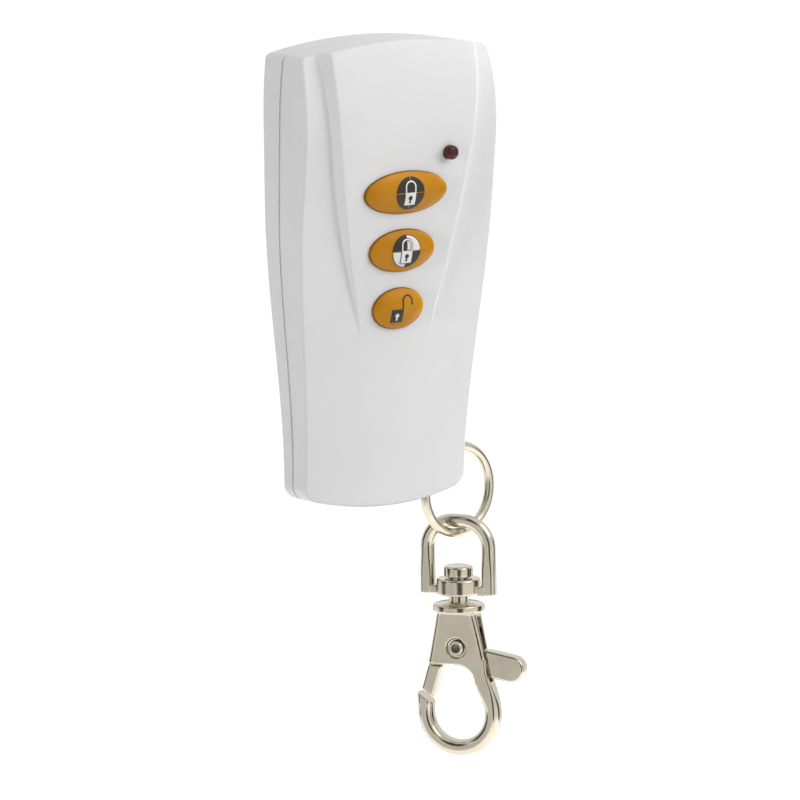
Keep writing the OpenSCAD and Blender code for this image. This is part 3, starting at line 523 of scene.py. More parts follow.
def buildScrews():
    s, steps = screwShape, 5
    end, head = s["sink"] + s["length"], s["headD"] / 2
    bead = rounded(head, s["below"], s["sink"], *s["headRound"], steps)[steps:]
    profile = [(axisR, end), (s["d"] / 2, end), (s["d"] / 2, s["sink"]), (head, s["sink"])]
    profile += [(r, s["sink"] - (z - s["below"])) for r, z in bead] + [(axisR, s["below"])]
    turned = [(r, -depth) for r, depth in profile]
    screws = newMesh("caseScrewHeads", *joined([spun(turned, x, footZ + s["h"]) for x in s["places"]]))
    w, l = s["crossW"] / 2, s["crossLen"] / 2
    corner = [(-w, -l), (w, -l), (w, -w)]
    cross = [(x * c - z * q, x * q + z * c)
             for c, q in ((1, 0), (0, 1), (-1, 0), (0, -1)) for x, z in corner]
    for x in s["places"]:
        points, faces = slab(cross, -s["below"] - s["crossDepth"], s["crossAhead"])
        carve(screws, newMesh("crossCut", points + np.array([x, 0, footZ + s["h"]]), faces))
    smooth(screws, 30)
    return place(screws, "case", tinned, "case_screws")


# buttons and lamp

buttonShape = dict(proud=1.6, rimProud=0.3, rimBelow=0.1, power=0.7, gap=0.04, flangeW=0.8, flangeT=0.8,
                   stemD=3.0, plungerTop=5.2, chamfer=0.05, rows=26, rowPower=1.6, rowReach=0.985,
                   paintedShadeBands=(4, 8))
buttons = {"arm": dict(label="arm", h=50.2, w=15.4, t=6.8),
           "part_arm": dict(label="partArm", h=40.95, w=12.2, t=6.8),
           "disarm": dict(label="disarm", h=31.7, w=9.5, t=6.6)}
lampShape = dict(x=7.9, h=55.97, d=2.26, gap=0.05, chamfer=0.06, proud=1.48, cap=0.65, capRows=14,
                 capTip=0.02, length=5.0, rim=0.9, rimW=0.3)
holeShape = dict(deep=2.0, flare=2.0, lift=1.0)


def draped(h, w, t, lift, steps=96):  # an ellipse laid on the panel
    a = around(steps)
    x, u = w / 2 * np.cos(a), h + t / 2 * np.sin(a)
    return np.column_stack([x, -panelSkin(x, u) - lift, footZ + u])


def proud(f, b=buttonShape):  # the dome's height at the share f of its half width
    return b["rimProud"] + (b["proud"] - b["rimProud"]) * np.maximum(1 - f * f, 0) ** b["power"]


def flat(loop, depth):
    return np.column_stack([loop[:, 0], np.full(len(loop), -depth), loop[:, 2]])


def cutHole(cover, name, lip, flare, x=0.0):
    for loop in (lip, flare):
        loop[:, 0] += x
    carve(cover, newMesh(name, *tube([flat(lip, holeShape["deep"]), lip, flare])))


def buildFrontCover():
    c, g, l, hole = caseShape, buttonShape, lampShape, holeShape
    cover = frontBlock("frontCoverShell", 0.0, 3, groove=True)
    hollow = frontBlock("frontHollow", c["wall"], 1, back=-c["lap"])
    carve(hollow, ringPost("frontPost", c["cutReach"]))
    atScrews(hollow, "frontBoss", screwShape["bossD"], screwShape["bossFrom"], c["cutReach"])
    carve(cover, hollow)
    carve(cover, ringBay("frontBay"))
    spread = hole["flare"] + 2 * g["chamfer"]
    for name, b in buttons.items():
        cutHole(cover, name + "Hole", draped(b["h"], b["w"], b["t"], -g["chamfer"]),
                draped(b["h"], b["w"] + spread, b["t"] + spread, hole["lift"]))
    d = l["d"] + 2 * l["gap"]
    wide = d + hole["flare"]
    cutHole(cover, "lampHole", draped(l["h"], d, d, -l["chamfer"], 48),
            draped(l["h"], wide, wide, hole["lift"] - l["chamfer"], 48), l["x"])
    smooth(cover)
    return place(cover, "case", caseWhite, "front_cover")


def buildRearCover():
    c, s, fine = caseShape, screwShape, 2
    r, deep = c["backRound"], c["grooveDeep"]
    loops = [atDepth(outline(r * (1 - math.sin(a)), fine), r * (1 - math.cos(a)))
             for a in np.linspace(0, np.pi / 2, 8)]
    for inset, back in ((0.0, 1), (deep, 1), (deep, 0)):
        edge = outline(inset, fine)
        loops.append(atDepth(edge, parting(edge[:, 1]) - back * grooveAt(edge[:, 1])))
    cover = newMesh("rearCoverTray", *tube(loops))
    edge = outline(c["pocketIn"], fine)
    pocket = newMesh("rearPocket", *tube([atDepth(edge, c["backT"]), atDepth(edge, c["pocketTo"])]))
    carve(pocket, ringPost("rearPost", c["cutReach"]))
    atScrews(pocket, "rearBoss", s["footBossD"], 0.0, s["footBossTo"])
    carve(cover, pocket)
    carve(cover, ringBay("rearBay"))
    atScrews(cover, "counterbore", s["headD"] + s["headGap"], -c["lap"], s["sink"])
    smooth(cover)
    return place(cover, "case", caseWhite, "rear_cover")


def buildLamp():
    l, r = lampShape, lampShape["d"] / 2
    tip = float(panelSkin(l["x"], l["h"])) + l["proud"]
    base = tip - l["length"]
    rim, rimTop = r + l["rimW"], base + l["rim"]
    profile = [(axisR, base), (rim, base), (rim, rimTop), (r, rimTop)]
    profile += [(max(r * math.cos(a), l["capTip"]), tip - l["cap"] + l["cap"] * math.sin(a))
                for a in np.linspace(0, np.pi / 2, l["capRows"])]
    turned = [(q, -depth) for q, depth in profile]
    lens = newMesh("indicatorLens", *spun(turned, l["x"], footZ + l["h"]))
    smooth(lens)
    return place(lens, "case", lampLens, "led_lamp")


def buildButton(name, b):
    g, h = buttonShape, b["h"]
    w, t = b["w"] - 2 * g["gap"], b["t"] - 2 * g["gap"]
    depth = -caseShape["wall"] - g["gap"]
    flange = draped(h, w + 2 * g["flangeW"], t + 2 * g["flangeW"], depth)
    low = float(panelSkin(0.0, h - b["t"] / 2 - g["flangeW"])) + depth - g["flangeT"]
    stem = draped(h, g["stemD"], g["stemD"], 0)
    shares = 1 - np.linspace(0, 1, g["rows"]) ** g["rowPower"] * g["rowReach"]
    loops = [flat(stem, g["plungerTop"]), flat(stem, low), flat(flange, low), flange,
             draped(h, w, t, depth), draped(h, w, t, g["rimProud"] - g["rimBelow"])]
    loops += [draped(h, w * f, t * f, float(proud(f))) for f in shares]
    dome = newMesh(b["label"] + "Dome", *tube(loops))
    smooth(dome, 40)
    place(dome, name + "_press", amberLens, name + "_button")
    dome.data.materials.append(amberPaintedShadeRim)
    rim = np.zeros(len(dome.data.polygons), int)
    first, last = g["paintedShadeBands"]
    rim[first * len(stem):last * len(stem)] = 1  # painted shade: the wall and the first rows of the dome take the darker amber
    dome.data.polygons.foreach_set("material_index", rim)
    return dome


# pictograms, printed on the domes: (u, z) shapes laid on the dome by its own curve

iconShape = dict(discR=2.63, lineW=0.13, rimIn=0.05, rimW=0.12, bodyW=1.95, bodyH=2.0, bodyLow=-1.9,
                 shackleR=0.88, shackleDip=0.05, shackleTop=1.0, stroke=0.24, outlineW=0.12,
                 holeUp=0.95, holeScale=1.2, lift=0.012)
openIcon = dict(middle=-0.95, half=1.05, low=-2.1, top=0.0, shackleR=0.88, shackleIn=0.12,
                shackleLow=-0.2, shackleTop=1.25, shackleEnd=0.55, stroke=0.26, holeZ=-1.15,
                holeScale=1.1)
keyholeShape = dict(eyeR=0.31, eyeUp=0.14, neck=0.10, foot=0.17, drop=0.55)
dotR = 0.01  # a printed disc starts this far from its middle


def sector(cx, cz, r0, r1, a0, a1, rings=10, steps=28):
    turns = np.radians(np.linspace(a0, a1, steps))
    points = [(cx + r * math.cos(a), cz + r * math.sin(a))
              for r in np.linspace(r0, r1, rings) for a in turns]
    return np.array(points), gridFaces(rings, steps, across=False)


def quarterDisc(r, gap, sx, sz, steps=16):  # one quarter, kept off the cross lines by half a gap
    points = []
    grid = np.linspace(0, 1, steps)
    for a in grid:
        for b in grid:
            t = math.radians(90 * b)
            rim = r * math.cos(t), r * math.sin(t)
            u, z = (gap + a * max(edge - gap, 0) for edge in rim)
            points.append((sx * u, sz * z))
    return np.array(points), gridFaces(steps, steps, across=False)


def plate(u0, u1, z0, z1, steps=8):
    points = [(u, z) for z in np.linspace(z0, z1, steps) for u in np.linspace(u0, u1, steps)]
    return np.array(points), gridFaces(steps, steps)


def strokeOf(path, width):
    path = np.asarray(path, float)
    d = np.gradient(path, axis=0)
    n = np.column_stack([-d[:, 1], d[:, 0]]) / np.linalg.norm(d, axis=1)[:, None] * width / 2
    return np.vstack([path - n, path + n]), gridFaces(2, len(path))


def shacklePath(cx, low, topZ, r, end):
    left = [(cx - r, z) for z in np.linspace(low, topZ, 8)[:-1]]
    right = [(cx + r, z) for z in np.linspace(topZ, end, 8)[1:]]
    return np.vstack([left, arc(cx, topZ, r, 180, 0, 22), right])


def keyhole(cx, cz, scale):
    k = {part: size * scale for part, size in keyholeShape.items()}
    slot = [(cx - k["neck"], cz), (cx + k["neck"], cz),
            (cx + k["foot"], cz - k["drop"]), (cx - k["foot"], cz - k["drop"])]
    return joined([sector(cx, cz + k["eyeUp"], dotR, k["eyeR"], 0, 360, 4, 20),
                   (np.array(slot), [(3, 2, 1, 0)])])


def buildIcon(name, button, layers):
    w, t = button["w"] - 2 * buttonShape["gap"], button["t"] - 2 * buttonShape["gap"]
    shells, marks = [], []
    for level, (shape, ink) in enumerate(layers):
        points, faces = shape
        u, z = points[:, 0], button["h"] + points[:, 1]
        f = np.hypot(u / (w / 2), points[:, 1] / (t / 2))
        lift = proud(f) + iconShape["lift"] * (1 + level)
        shells.append((np.column_stack([u, -panelSkin(u, z) - lift, footZ + z]), faces))
        marks += [ink] * len(faces)
    icon = newMesh(name, *joined(shells))
    for material in (inkDark, inkWhite):
        icon.data.materials.append(material)
    icon.data.polygons.foreach_set("material_index", marks)
    icon.data.shade_smooth()
    return icon


def buildIcons():
    i, o = iconShape, openIcon
    dark, white = 0, 1
    half, low, top, border = i["bodyW"] / 2, i["bodyLow"], i["bodyLow"] + i["bodyH"], i["outlineW"]
    body = plate(-half, half, low, top)
    edge = plate(-half - border, half + border, low - border, top + border)
    bowLow = top - i["shackleDip"]
    bow = shacklePath(0, bowLow, i["shackleTop"], i["shackleR"], bowLow)
    hole = keyhole(0, low + i["holeUp"], i["holeScale"])
    quarters = {(sx, sz): quarterDisc(i["discR"], i["lineW"] / 2, sx, sz)
                for sx in (-1, 1) for sz in (-1, 1)}
    inside = joined([plate(-i["shackleR"], i["shackleR"], top, i["shackleTop"]),
                     sector(0, i["shackleTop"], dotR, i["shackleR"], 0, 180, 5, 20)])
    arm = [(joined(list(quarters.values())), dark), (inside, dark),
           (strokeOf(bow, i["stroke"]), white), (body, white), (hole, dark)]
    darkQuarters = joined([quarters[(-1, 1)], quarters[(1, -1)]])
    whiteQuarters = joined([quarters[(1, 1)], quarters[(-1, -1)]])
    rim = strokeOf(arc(0, 0, i["discR"] - i["rimIn"], 0, 360, 80), i["rimW"])
    partArm = [(darkQuarters, dark), (whiteQuarters, white), (rim, dark),
               (strokeOf(bow, i["stroke"] + 2 * border), dark), (edge, dark),
               (strokeOf(bow, i["stroke"]), white), (body, white), (hole, dark)]
    openBody = plate(o["middle"] - o["half"], o["middle"] + o["half"], o["low"], o["top"])
    openBow = shacklePath(o["middle"] + o["half"] + o["shackleR"] - o["shackleIn"], o["shackleLow"],
                          o["shackleTop"], o["shackleR"], o["shackleEnd"])
    disarm = [(openBody, dark), (strokeOf(openBow, o["stroke"]), dark),
              (keyhole(o["middle"], o["holeZ"], o["holeScale"]), white)]
    for name, layers in (("arm", arm), ("part_arm", partArm), ("disarm", disarm)):
        icon = buildIcon(buttons[name]["label"] + "Icon", buttons[name], layers)
        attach(icon, name + "_press")


frontCover = buildFrontCover()
rearCover = buildRearCover()
buildScrews()
buildLamp()
print("case:", len(frontCover.data.polygons), "and", len(rearCover.data.polygons), "faces")
for name, button in buttons.items():
    buildButton(name, button)
buildIcons()
print("buttons and pictograms placed")


# snap, drawn in (u, n, z): u across its front, n back from it

snapShape = dict(
    turn=-54.0, ringGap=0.1, bailW=12.5, bailBar=2.2, bailBend=5.4, bailH=12.9, footShare=0.9,
    collarD=7.0, collarH=2.6, collarRound=(0.2, 0.35), headD=4.6, headH=1.65, headEdge=0.45,
    headFoot=0.12, headCrown=0.05, shankD=3.0, shankSink=2.0, play=0.3, space=1.2, boreGap=0.05,
    flangeD=8.2, flangeT=1.6, flangeFall=0.35, flangeRound=(0.3, 0.15), bodyTop=6.4, bodyLow=9.9,
    bodyH=8.5, bodyThickTop=4.2, bodyThickLow=3.1, bodyTaper=1.5, bodySoft=0.3, eyeW=8.8, eyeH=12.4,
    archR=3.1, webUp=0.2, bar=2.5, barT=3.1, armUp=1.0, tipUp=4.0, tipRun=2.0, tipSoft=0.42,
    armSoft=0.32, bendSoft=0.85, legSoft=0.6, crownSoft=0.95, pinDrop=5.8, pinD=2.3, pinRing=1.0,
    pinGap=0.1, pinSunk=1.2, lap=1.0, cut=5.0, voxel=0.1, tumble=0.5, rounds=6)
bailTop = ringShape["z"] - ringInner + snapShape["ringGap"] + snapShape["bailBar"]
bailFoot = bailTop - snapShape["bailH"]
collarTop = bailFoot + snapShape["collarH"]
flangeTop = bailFoot - snapShape["space"]
flangeLow = flangeTop - snapShape["flangeT"]
eyeTop = flangeLow - snapShape["bodyH"]
eyeLow = eyeTop - snapShape["eyeH"]
eyeCentre = eyeLow + snapShape["eyeW"] / 2
pinZ = flangeLow - snapShape["pinDrop"]
snapPose = (Matrix.Translation((ringShape["x"] * mm, -ringShape["depth"] * mm, 0))
            @ Matrix.Rotation(math.radians(snapShape["turn"]), 4, "Z"))


def softened(v, power):
    return np.sign(v) * np.abs(v) ** power


def barSection(w, t, power):  # from a box at power 0 to an ellipse at power 1
    a = around(40)
    return np.column_stack([w / 2 * softened(np.cos(a), power), t / 2 * softened(np.sin(a), power)])


def sweepBar(path, sections):  # one section for each point of a path of (u, z)
    path = np.asarray(path, float)
    d = np.gradient(path, axis=0)
    d /= np.linalg.norm(d, axis=1)[:, None]
    return tube([np.column_stack([p[0] + q[:, 0] * t[1], q[:, 1], p[1] - q[:, 0] * t[0]])
                 for p, t, q in zip(path, d, sections)])


def crossRod(d, low, high):  # a rod along n through the trigger's pin
    return spun([(d / 2, high), (d / 2, low)], 0, pinZ)


def melt(piece):
    remesh = piece.modifiers.new("melt", "REMESH")
    remesh.mode = "VOXEL"
    remesh.voxel_size = snapShape["voxel"] * mm
    settle(piece)


def castPiece(name, shells, cutters):  # shells melted into one casting, cut and tumbled to soft edges
    piece = newMesh(name, *joined(shells))
    melt(piece)
    for number, cutter in enumerate(cutters):
        carve(piece, newMesh(name + "Cut" + str(number), *cutter))
    melt(piece)
    tumble = piece.modifiers.new("tumble", "SMOOTH")
    tumble.factor = snapShape["tumble"]
    tumble.iterations = snapShape["rounds"]
    settle(piece)
    piece.data.transform(snapPose)
    piece.data.shade_smooth()
    return piece


def buildBail():
    s = snapShape
    legX, bend = (s["bailW"] - s["bailBar"]) / 2, s["bailBend"] - s["bailBar"] / 2
    bendX, bendZ = legX - bend, bailTop - s["bailBend"]
    right = [(legX, z) for z in np.linspace(bailFoot, bendZ, 14)[:-1]]
    left = [(-legX, z) for z in np.linspace(bendZ, bailFoot, 14)]
    crown = [(x, bailTop - s["bailBar"] / 2) for x in np.linspace(bendX, -bendX, 4)[:-1]]
    path = np.vstack([right, arc(bendX, bendZ, bend, 0, 90, 28)[:-1], crown,
                      arc(-bendX, bendZ, bend, 90, 180, 28)[:-1], left])
    up = ease((path[:, 1] - collarTop) / (bendZ - collarTop))
    soft = s["legSoft"] + (s["crownSoft"] - s["legSoft"]) * up
    loop = sweepBar(path, [barSection(s["bailBar"], s["bailBar"], power) for power in soft])
    t = s["footShare"] * s["bailBar"] / 2
    foot = slab(oblong(legX, bailFoot, bailFoot + s["collarH"] / 2), t, -t)
    rim = rounded(s["collarD"] / 2, bailFoot, collarTop, *s["collarRound"])
    collar = lathe([(axisR, bailFoot)] + rim + [(axisR, collarTop)])
    r, low, high = s["shankD"] / 2 + s["boreGap"], bailFoot - s["lap"], collarTop + s["lap"]
    bore = lathe([(axisR, low), (r, low), (r, high), (axisR, high)])
    bail = castPiece("swivelBailCast", [loop, foot, collar], [bore])
    return place(bail, "bail", nickel, "swivel_bail")


def buildRivet():
    s = snapShape
    low, foot, r = collarTop + s["play"], flangeTop - s["shankSink"], s["shankD"] / 2
    top = low + s["headH"]
    profile = [(axisR, foot), (r, foot), (r, low)]
    profile += rounded(s["headD"] / 2, low, top, s["headFoot"], s["headEdge"], 7)
    rivet = newMesh("swivelRivetHead", *lathe(profile + [(axisR, top + s["headCrown"])], 96))
    rivet.data.transform(snapPose)
    smooth(rivet, 40)
    return place(rivet, "hook", nickel, "swivel_rivet")


def armX(z, s=snapShape):  # middle line of the hook's right arm
    top, low = (s["bodyLow"] - s["bar"]) / 2, (s["eyeW"] + s["bar"]) / 2
    return top + (low - top) * ease((eyeTop - z) / (s["eyeH"] - s["eyeW"] / 2))


def hookPath():
    s = snapShape
    r = (s["eyeW"] + s["bar"]) / 2
    z = np.linspace(eyeTop + s["armUp"], eyeCentre, 40)
    tip = [(-r, eyeCentre + d) for d in np.linspace(0, s["tipUp"], 12)[1:]]
    return np.vstack([np.column_stack([armX(z), z])[:-1], arc(0, eyeCentre, r, 0, -180, 60), tip])


def eyeWeb():  # fills the corner between the body and the right arm, under the eye's arch
    s = snapShape
    top, low, t = eyeTop + s["webUp"], eyeTop - s["archR"], s["bodyThickLow"] / 2
    z = np.linspace(top, low, 12)
    edge = [(0.0, top), *np.column_stack([armX(z), z]), *arc(0, low, s["archR"], 0, 90, 20)]
    return slab(edge, t, -t)


def bodyWidth(f, s=snapShape):  # at the share f of the way down the body
    return s["bodyTop"] + (s["bodyLow"] - s["bodyTop"]) * f


leverShape = dict(
    t=1.4, gap=0.1, hubD=6.0, neckGap=0.2, neckLap=0.5, tabX=9.0, tabDrop=3.1, tabH=4.3, tabT=2.4,
    tabTilt=10.0, tabFoot=(5.75, 4.9), tabRound=0.35, gateReach=9.2, gateLean=16.5, gateOff=2.75,
    gateW=2.3, gateGap=0.9, gateEdge=-3.1, gateRound=0.45, gateEndShare=0.4, slotUp=5.1, slotDown=5.4,
    slotReach=12.0, grooveDeep=0.8, recess=4.6, recessDeep=0.8, cut=4.0)


def buildHook():
    s, v = snapShape, leverShape
    loops = []
    for z in np.linspace(eyeTop, flangeLow + s["flangeT"] / 2, 20):
        f = min(max((flangeLow - z) / s["bodyH"], 0), 1)
        swell = (s["bodyThickTop"] - s["bodyThickLow"]) * (1 - f) ** s["bodyTaper"]
        section = barSection(bodyWidth(f), s["bodyThickLow"] + swell, s["bodySoft"])
        loops.append([(p[0], p[1], z) for p in section])
    rim = rounded(s["flangeD"] / 2, flangeLow, flangeTop - s["flangeFall"], *s["flangeRound"])
    flange = lathe([(axisR, flangeLow)] + rim + [(s["shankD"] / 2, flangeTop), (axisR, flangeTop)])
    w, far = v["t"] / 2 + v["gap"], v["slotReach"]
    low, mid, high = pinZ - v["slotDown"], pinZ + v["hubD"] / 2 + v["gap"], pinZ + v["slotUp"]
    slot = slab(oblong(far, low, mid), w, -w)
    inner, outer = (bodyWidth((flangeLow - z) / s["bodyH"]) / 2 - v["grooveDeep"] for z in (mid, high))
    start = mid - v["gap"]
    grooves = [slab([(a * inner, start), (a * far, start), (a * far, high), (a * outer, high)], w, -w)
               for a in (1, -1)]
    path = hookPath()
    arch = eyeTop - s["archR"]
    down = ease((arch - path[:, 1]) / (arch - eyeCentre))
    up = ease((path[:, 1] - eyeCentre) / s["tipRun"]) * (path[:, 0] < 0)
    share = np.where(path[:, 0] > 0, down, 1 - s["tipSoft"] * up)
    soft = s["armSoft"] + (s["bendSoft"] - s["armSoft"]) * share
    bar = sweepBar(path, [barSection(s["bar"], s["barT"], power) for power in soft])
    sunk = crossRod(s["pinD"] + s["pinRing"], -s["pinSunk"], -s["cut"])
    bore = crossRod(s["pinD"] + s["pinGap"], -s["cut"], s["cut"])
    hook = castPiece("hookCast", [tube(loops), bar, eyeWeb(), flange],
                     [slot, *grooves, sunk, bore, tipCutter()])
    return place(hook, "hook", nickel, "hook_body")


def tipCutter():  # frees the hook's tip along the circle of the gate's end
    v = leverShape
    reach, edge, high = v["gateReach"] + v["gateGap"], -snapShape["eyeW"] / 4, eyeTop - pinZ
    low, left = math.degrees(math.acos(edge / reach)), math.degrees(math.asin(-high / reach))
    freed = [(edge, high), *arc(0, 0, reach, 180 + left, 360 - low)]
    return slab([(u, pinZ + z) for u, z in freed], v["cut"], -v["cut"])


def buildLever():
    s, v = snapShape, leverShape
    lean, tilt = math.radians(v["gateLean"]), math.radians(v["tabTilt"])
    hub = arc(0, 0, v["hubD"] / 2, 0, 360, 49)[:-1]
    neckX = v["hubD"] / 2 + v["neckGap"]
    rootZ = (v["tabX"] - neckX) * math.tan(tilt) - v["tabDrop"]
    along = np.array([math.cos(tilt), -math.sin(tilt)])
    up = np.array([math.sin(tilt), math.cos(tilt)])
    end = np.array([v["tabX"], -v["tabDrop"]])
    nose = arc(0, 0, 1, -90 - v["tabTilt"], 90 - v["tabTilt"], 25)
    down = np.array([-math.sin(lean), -math.cos(lean)])
    side = np.array([-math.cos(lean), math.sin(lean)])

    def tabFrom(xs, inset):  # from xs, at its lower and its upper edge, to the round end
        r = v["tabH"] / 2 - inset
        corners = zip((end - up * r, end + up * r), xs)
        low, high = (p - along * (p[0] - x) / along[0] for p, x in corners)
        return [low, *(end + nose * r), high]

    def gateFrom(level, inset):  # from a level down to the end, which is round about the pin
        half, reach = v["gateW"] / 2 - inset, v["gateReach"] - v["gateEndShare"] * inset
        sides = [side * (v["gateOff"] - half), side * (v["gateOff"] + half)]
        ends = [base + down * math.sqrt(reach ** 2 - base @ base) for base in sides]
        angles = np.unwrap([math.atan2(p[1], p[0]) for p in ends])
        tops = [base + down * (level - base[1]) / down[1] for base in sides]
        return [tops[0], *arc(0, 0, reach, *np.degrees(angles), 9), tops[1]]

    def flatPiece(shape):
        return slab([(u, pinZ + z) for u, z in shape], v["t"] / 2, -v["t"] / 2)

    def pillow(shape, start, r):  # the full thickness, with edges rounded by r
        half, loops = v["tabT"] / 2, []
        for a in np.linspace(-90, 90, 14):
            n = math.copysign(half - r + r * abs(math.sin(math.radians(a))), a)
            inset = r - r * math.cos(math.radians(a))
            loops.append([(u, n, pinZ + z) for u, z in shape(start, inset)])
        return tube(loops)

    neckZ, hubZ, lapX = v["tabH"] / 2, v["hubD"] / 2 - v["gap"], neckX + v["neckLap"]
    neck = [(0, hubZ), (0, -hubZ), (lapX, rootZ - neckZ), (lapX, rootZ + neckZ)]
    shells = [flatPiece(hub), flatPiece(neck), flatPiece(tabFrom((neckX, neckX), 0.0)),
              flatPiece(gateFrom(0.0, 0.0)), pillow(tabFrom, v["tabFoot"], v["tabRound"]),
              pillow(gateFrom, v["gateEdge"], v["gateRound"])]
    bore = crossRod(s["pinD"] + s["pinGap"], -v["cut"], v["cut"])
    recess = crossRod(v["recess"], -v["cut"], v["recessDeep"] - v["t"] / 2)
    lever = castPiece("triggerLeverCast", shells, [bore, recess])
    return place(lever, "trigger", nickel, "trigger_lever")


pinShape = dict(shorter=0.5, edge=0.12, darkR=0.69,
                dimple=((0.72, 0.0), (0.66, 0.1), (0.6, 0.3), (axisR, 0.5)))


def buildPin():
    p, r = pinShape, snapShape["pinD"] / 2
    halfLen = (snapShape["bodyThickTop"] - p["shorter"]) / 2
    front = [(r, p["edge"]), (r - p["edge"], 0.0), *p["dimple"]]
    profile = [(axisR, halfLen), (r, halfLen)] + [(q, n - halfLen) for q, n in front]
    pin = newMesh("triggerPinRivet", *spun(profile, 0, pinZ, 64))
    # painted shade: faces in the front dimple take the dark finish, standing in for the shade in the
    # hole
    dimple = [np.hypot(f.center.x, f.center.z - pinZ * mm) < p["darkR"] * mm and f.center.y < 0
              for f in pin.data.polygons]
    pin.data.transform(snapPose)
    smooth(pin, 30)
    place(pin, "hook", nickel, "trigger_pin")
    pin.data.materials.append(pitPaintedShade)
    pin.data.polygons.foreach_set("material_index", np.array(dimple, int))
    return pin


for build in (buildRing, buildBail, buildRivet, buildHook, buildLever, buildPin):
    made = build()
    print("ring and snap:", made.name, len(made.data.polygons), "faces")


# carried-over pieces

finishes = {press + part: switchBlack for press in buttons for part in ("_switch", "_plunger")}
finishes.update({"main_board": boardMask, "led_leads": tinned, "battery": sleeveGrey,
                 "positive_contact": tinned, "negative_contact": tinned, "encoder_chip": chipBlack,
                 "saw_resonator": goldLid, "chip_components": firedTan, "trigger_spring": tinned})
for name, material in finishes.items():
    nodes[name].data.materials.clear()
    nodes[name].data.materials.append(material)
print("carried-over pieces:", len(finishes))


# camera and light: distances and lamps in metres, cards and floor in millimetres


def stand(thing, centre, azimuth, elevation, distance, roll=0.0):  # looks back at the centre
    a, e = math.radians(azimuth), math.radians(elevation)
    back = Vector((math.sin(a) * math.cos(e), -math.cos(a) * math.cos(e), math.sin(e)))
    thing.location = Vector(centre) * mm + back * distance
    turn = (-back).to_track_quat("-Z", "Y").to_matrix()
    thing.rotation_euler = (turn @ Matrix.Rotation(math.radians(roll), 3, "Z")).to_euler()


cameraShape = dict(azimuth=-34.0, elevation=8.63, distance=1.2, roll=-0.74, target=(5.55, -2.5, -21.3),
                   mmPerPixel=0.158, pixels=800, sensor=36, near=0.05, far=20)


def buildCamera():
    c = cameraShape
    data = bpy.data.cameras.new("photoCamera")
    data.sensor_width = c["sensor"]
    data.lens = c["sensor"] * c["distance"] / (c["pixels"] * c["mmPerPixel"] * mm)
    data.clip_start, data.clip_end = c["near"], c["far"]
    camera = newThing("photoCamera", data)
    stand(camera, c["target"], c["azimuth"], c["elevation"], c["distance"], c["roll"])
    bpy.context.scene.camera = camera


def seenRay(tree):  # 1 for rays from the camera and by way of metal and glass
    path = addNode(tree, "ShaderNodeLightPath")
    glossy = addNode(tree, "ShaderNodeMath", operation="MAXIMUM")
    seen = addNode(tree, "ShaderNodeMath", operation="MAXIMUM")
    tree.links.new(path.outputs["Is Glossy Ray"], glossy.inputs[0])
    tree.links.new(path.outputs["Is Transmission Ray"], glossy.inputs[1])
    tree.links.new(path.outputs["Is Camera Ray"], seen.inputs[0])
    tree.links.new(glossy.outputs[0], seen.inputs[1])
    return seen.outputs[0]


lampSet = {  # azimuth, elevation, distance, size, watts, whether metal mirrors it
    "sideLamp": (60, 20, 0.8, 0.6, 4.9, False), "highLamp": (30, 40, 0.8, 0.5, 1.9, True),
    "topLamp": (-10, 82, 0.8, 0.3, 1.5, False), "leftLamp": (-105, 30, 0.8, 0.5, 0.55, True),
    "grazeLamp": (-77, 6, 0.8, 0.06, 2.25, False), "backLamp": (165, 4, 0.9, 0.6, 3.0, False)}
lampCentre = (5.5, -2.5, -22.0)
worldLevel = 0.10


def buildLight():
    for name, (azimuth, elevation, distance, size, watts, mirrored) in lampSet.items():
        data = bpy.data.lights.new(name, "AREA")
        data.energy, data.size = watts, size
        lamp = newThing(name, data)
        stand(lamp, lampCentre, azimuth, elevation, distance)
        lamp.visible_glossy = mirrored
    world = bpy.data.worlds.new("studio")
    bpy.context.scene.world = world
    world.use_nodes = True
    tree = world.node_tree
    level = addNode(tree, "ShaderNodeMapRange", {"To Min": worldLevel, "To Max": 1.0})
    tree.links.new(seenRay(tree), level.inputs["Value"])
    background = tree.nodes["Background"]
    background.inputs["Color"].default_value = (1, 1, 1, 1)
    tree.links.new(level.outputs["Result"], background.inputs["Strength"])


def flatSheet(name, halfWide, halfHigh, z=0.0):
    corners = [(u, v, z) for u, v in oblong(halfWide, -halfHigh, halfHigh)]
    return newMesh(name, corners, [(0, 1, 2, 3)])


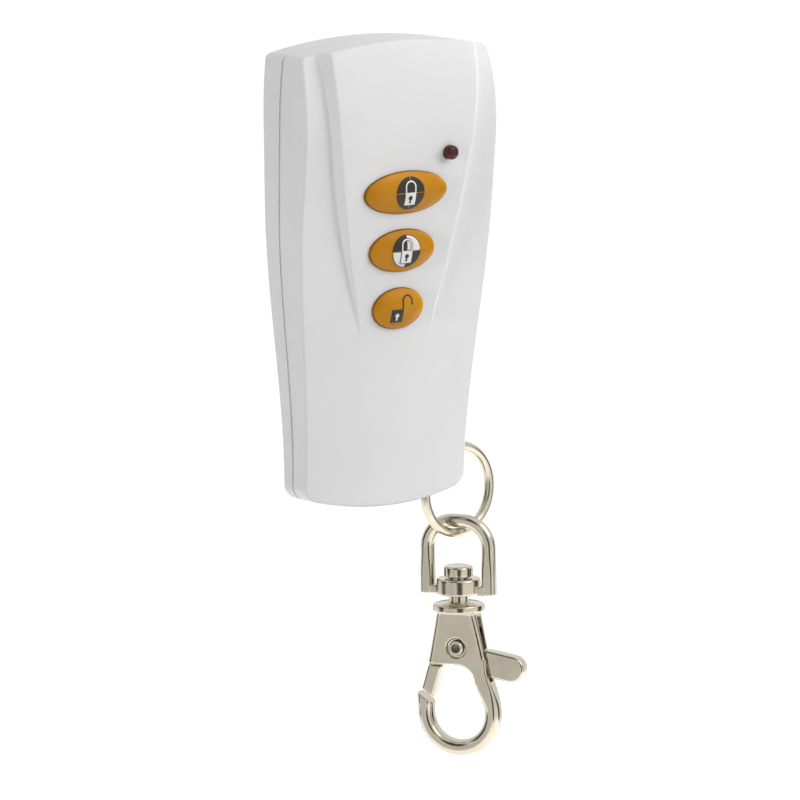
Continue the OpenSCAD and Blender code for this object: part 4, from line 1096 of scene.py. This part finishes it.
cardSet = {  # azimuth, elevation, distance, width, height, level of light
    "leftCard": (-120, 10, 0.75, 720, 1300, 0.0), "topCard": (-74, 40, 0.75, 1300, 950, 0.0),
    "rightCard": (75, -10, 0.75, 500, 800, 0.0), "frontCard": (-28, -4, 0.75, 560, 1000, 0.0),
    "rearCard": (146, -14, 0.75, 950, 500, 0.2), "greyCard": (-74, -17, 0.5, 560, 440, 0.74)}
cardFade = {"From Min": 0.5, "From Max": 1.0, "To Min": 1.0, "To Max": 0.0}


def buildCards():  # soft-edged cards that only reflections see, for the streaks in the bright metal
    for name, (azimuth, elevation, distance, width, height, level) in cardSet.items():
        w, h = width / 2, height / 2
        card = flatSheet(name, w, h)
        stand(card, (0, 0, 0), azimuth, elevation, distance)
        felt = moulded(name + "Felt", (0.03, 0.028, 0.025), (0.02, 0.019, 0.017),
                       Emission_Color=(1, 1, 1, 1), Emission_Strength=level)
        tree = felt.node_tree
        spot = addNode(tree, "ShaderNodeTexCoord")
        share = addNode(tree, "ShaderNodeVectorMath", {1: (1 / (w * mm), 1 / (h * mm), 0)},
                        operation="MULTIPLY")
        reach = addNode(tree, "ShaderNodeVectorMath", operation="LENGTH")
        fade = addNode(tree, "ShaderNodeMapRange", cardFade, interpolation_type="SMOOTHSTEP")
        tree.links.new(spot.outputs["Object"], share.inputs[0])
        tree.links.new(share.outputs["Vector"], reach.inputs[0])
        tree.links.new(reach.outputs["Value"], fade.inputs["Value"])
        tree.links.new(fade.outputs["Result"], tree.nodes["Principled BSDF"].inputs["Alpha"])
        card.data.materials.append(felt)
        for ray in ("camera", "diffuse", "shadow", "transmission"):
            setattr(card, "visible_" + ray, False)


floorShape = dict(z=-300.0, half=4000.0, glow=0.92)


def buildFloor():
    floor = flatSheet("paleFloor", floorShape["half"], floorShape["half"], floorShape["z"])
    material = moulded("paleFloor", (0.85, 0.85, 0.85), (0.83, 0.83, 0.83), grain=300, drift=8,
                       rough=(0.8, 0.95), bump=(0.05, 1e-5), Emission_Color=(1, 1, 1, 1))
    tree = material.node_tree
    glow = addNode(tree, "ShaderNodeMath", {1: floorShape["glow"]}, operation="MULTIPLY")
    tree.links.new(seenRay(tree), glow.inputs[0])
    tree.links.new(glow.outputs[0], tree.nodes["Principled BSDF"].inputs["Emission Strength"])
    floor.data.materials.append(material)


buildCamera()
buildLight()
buildCards()
buildFloor()
bpy.context.scene.view_settings.view_transform = "Standard"
print("camera, light and floor placed")
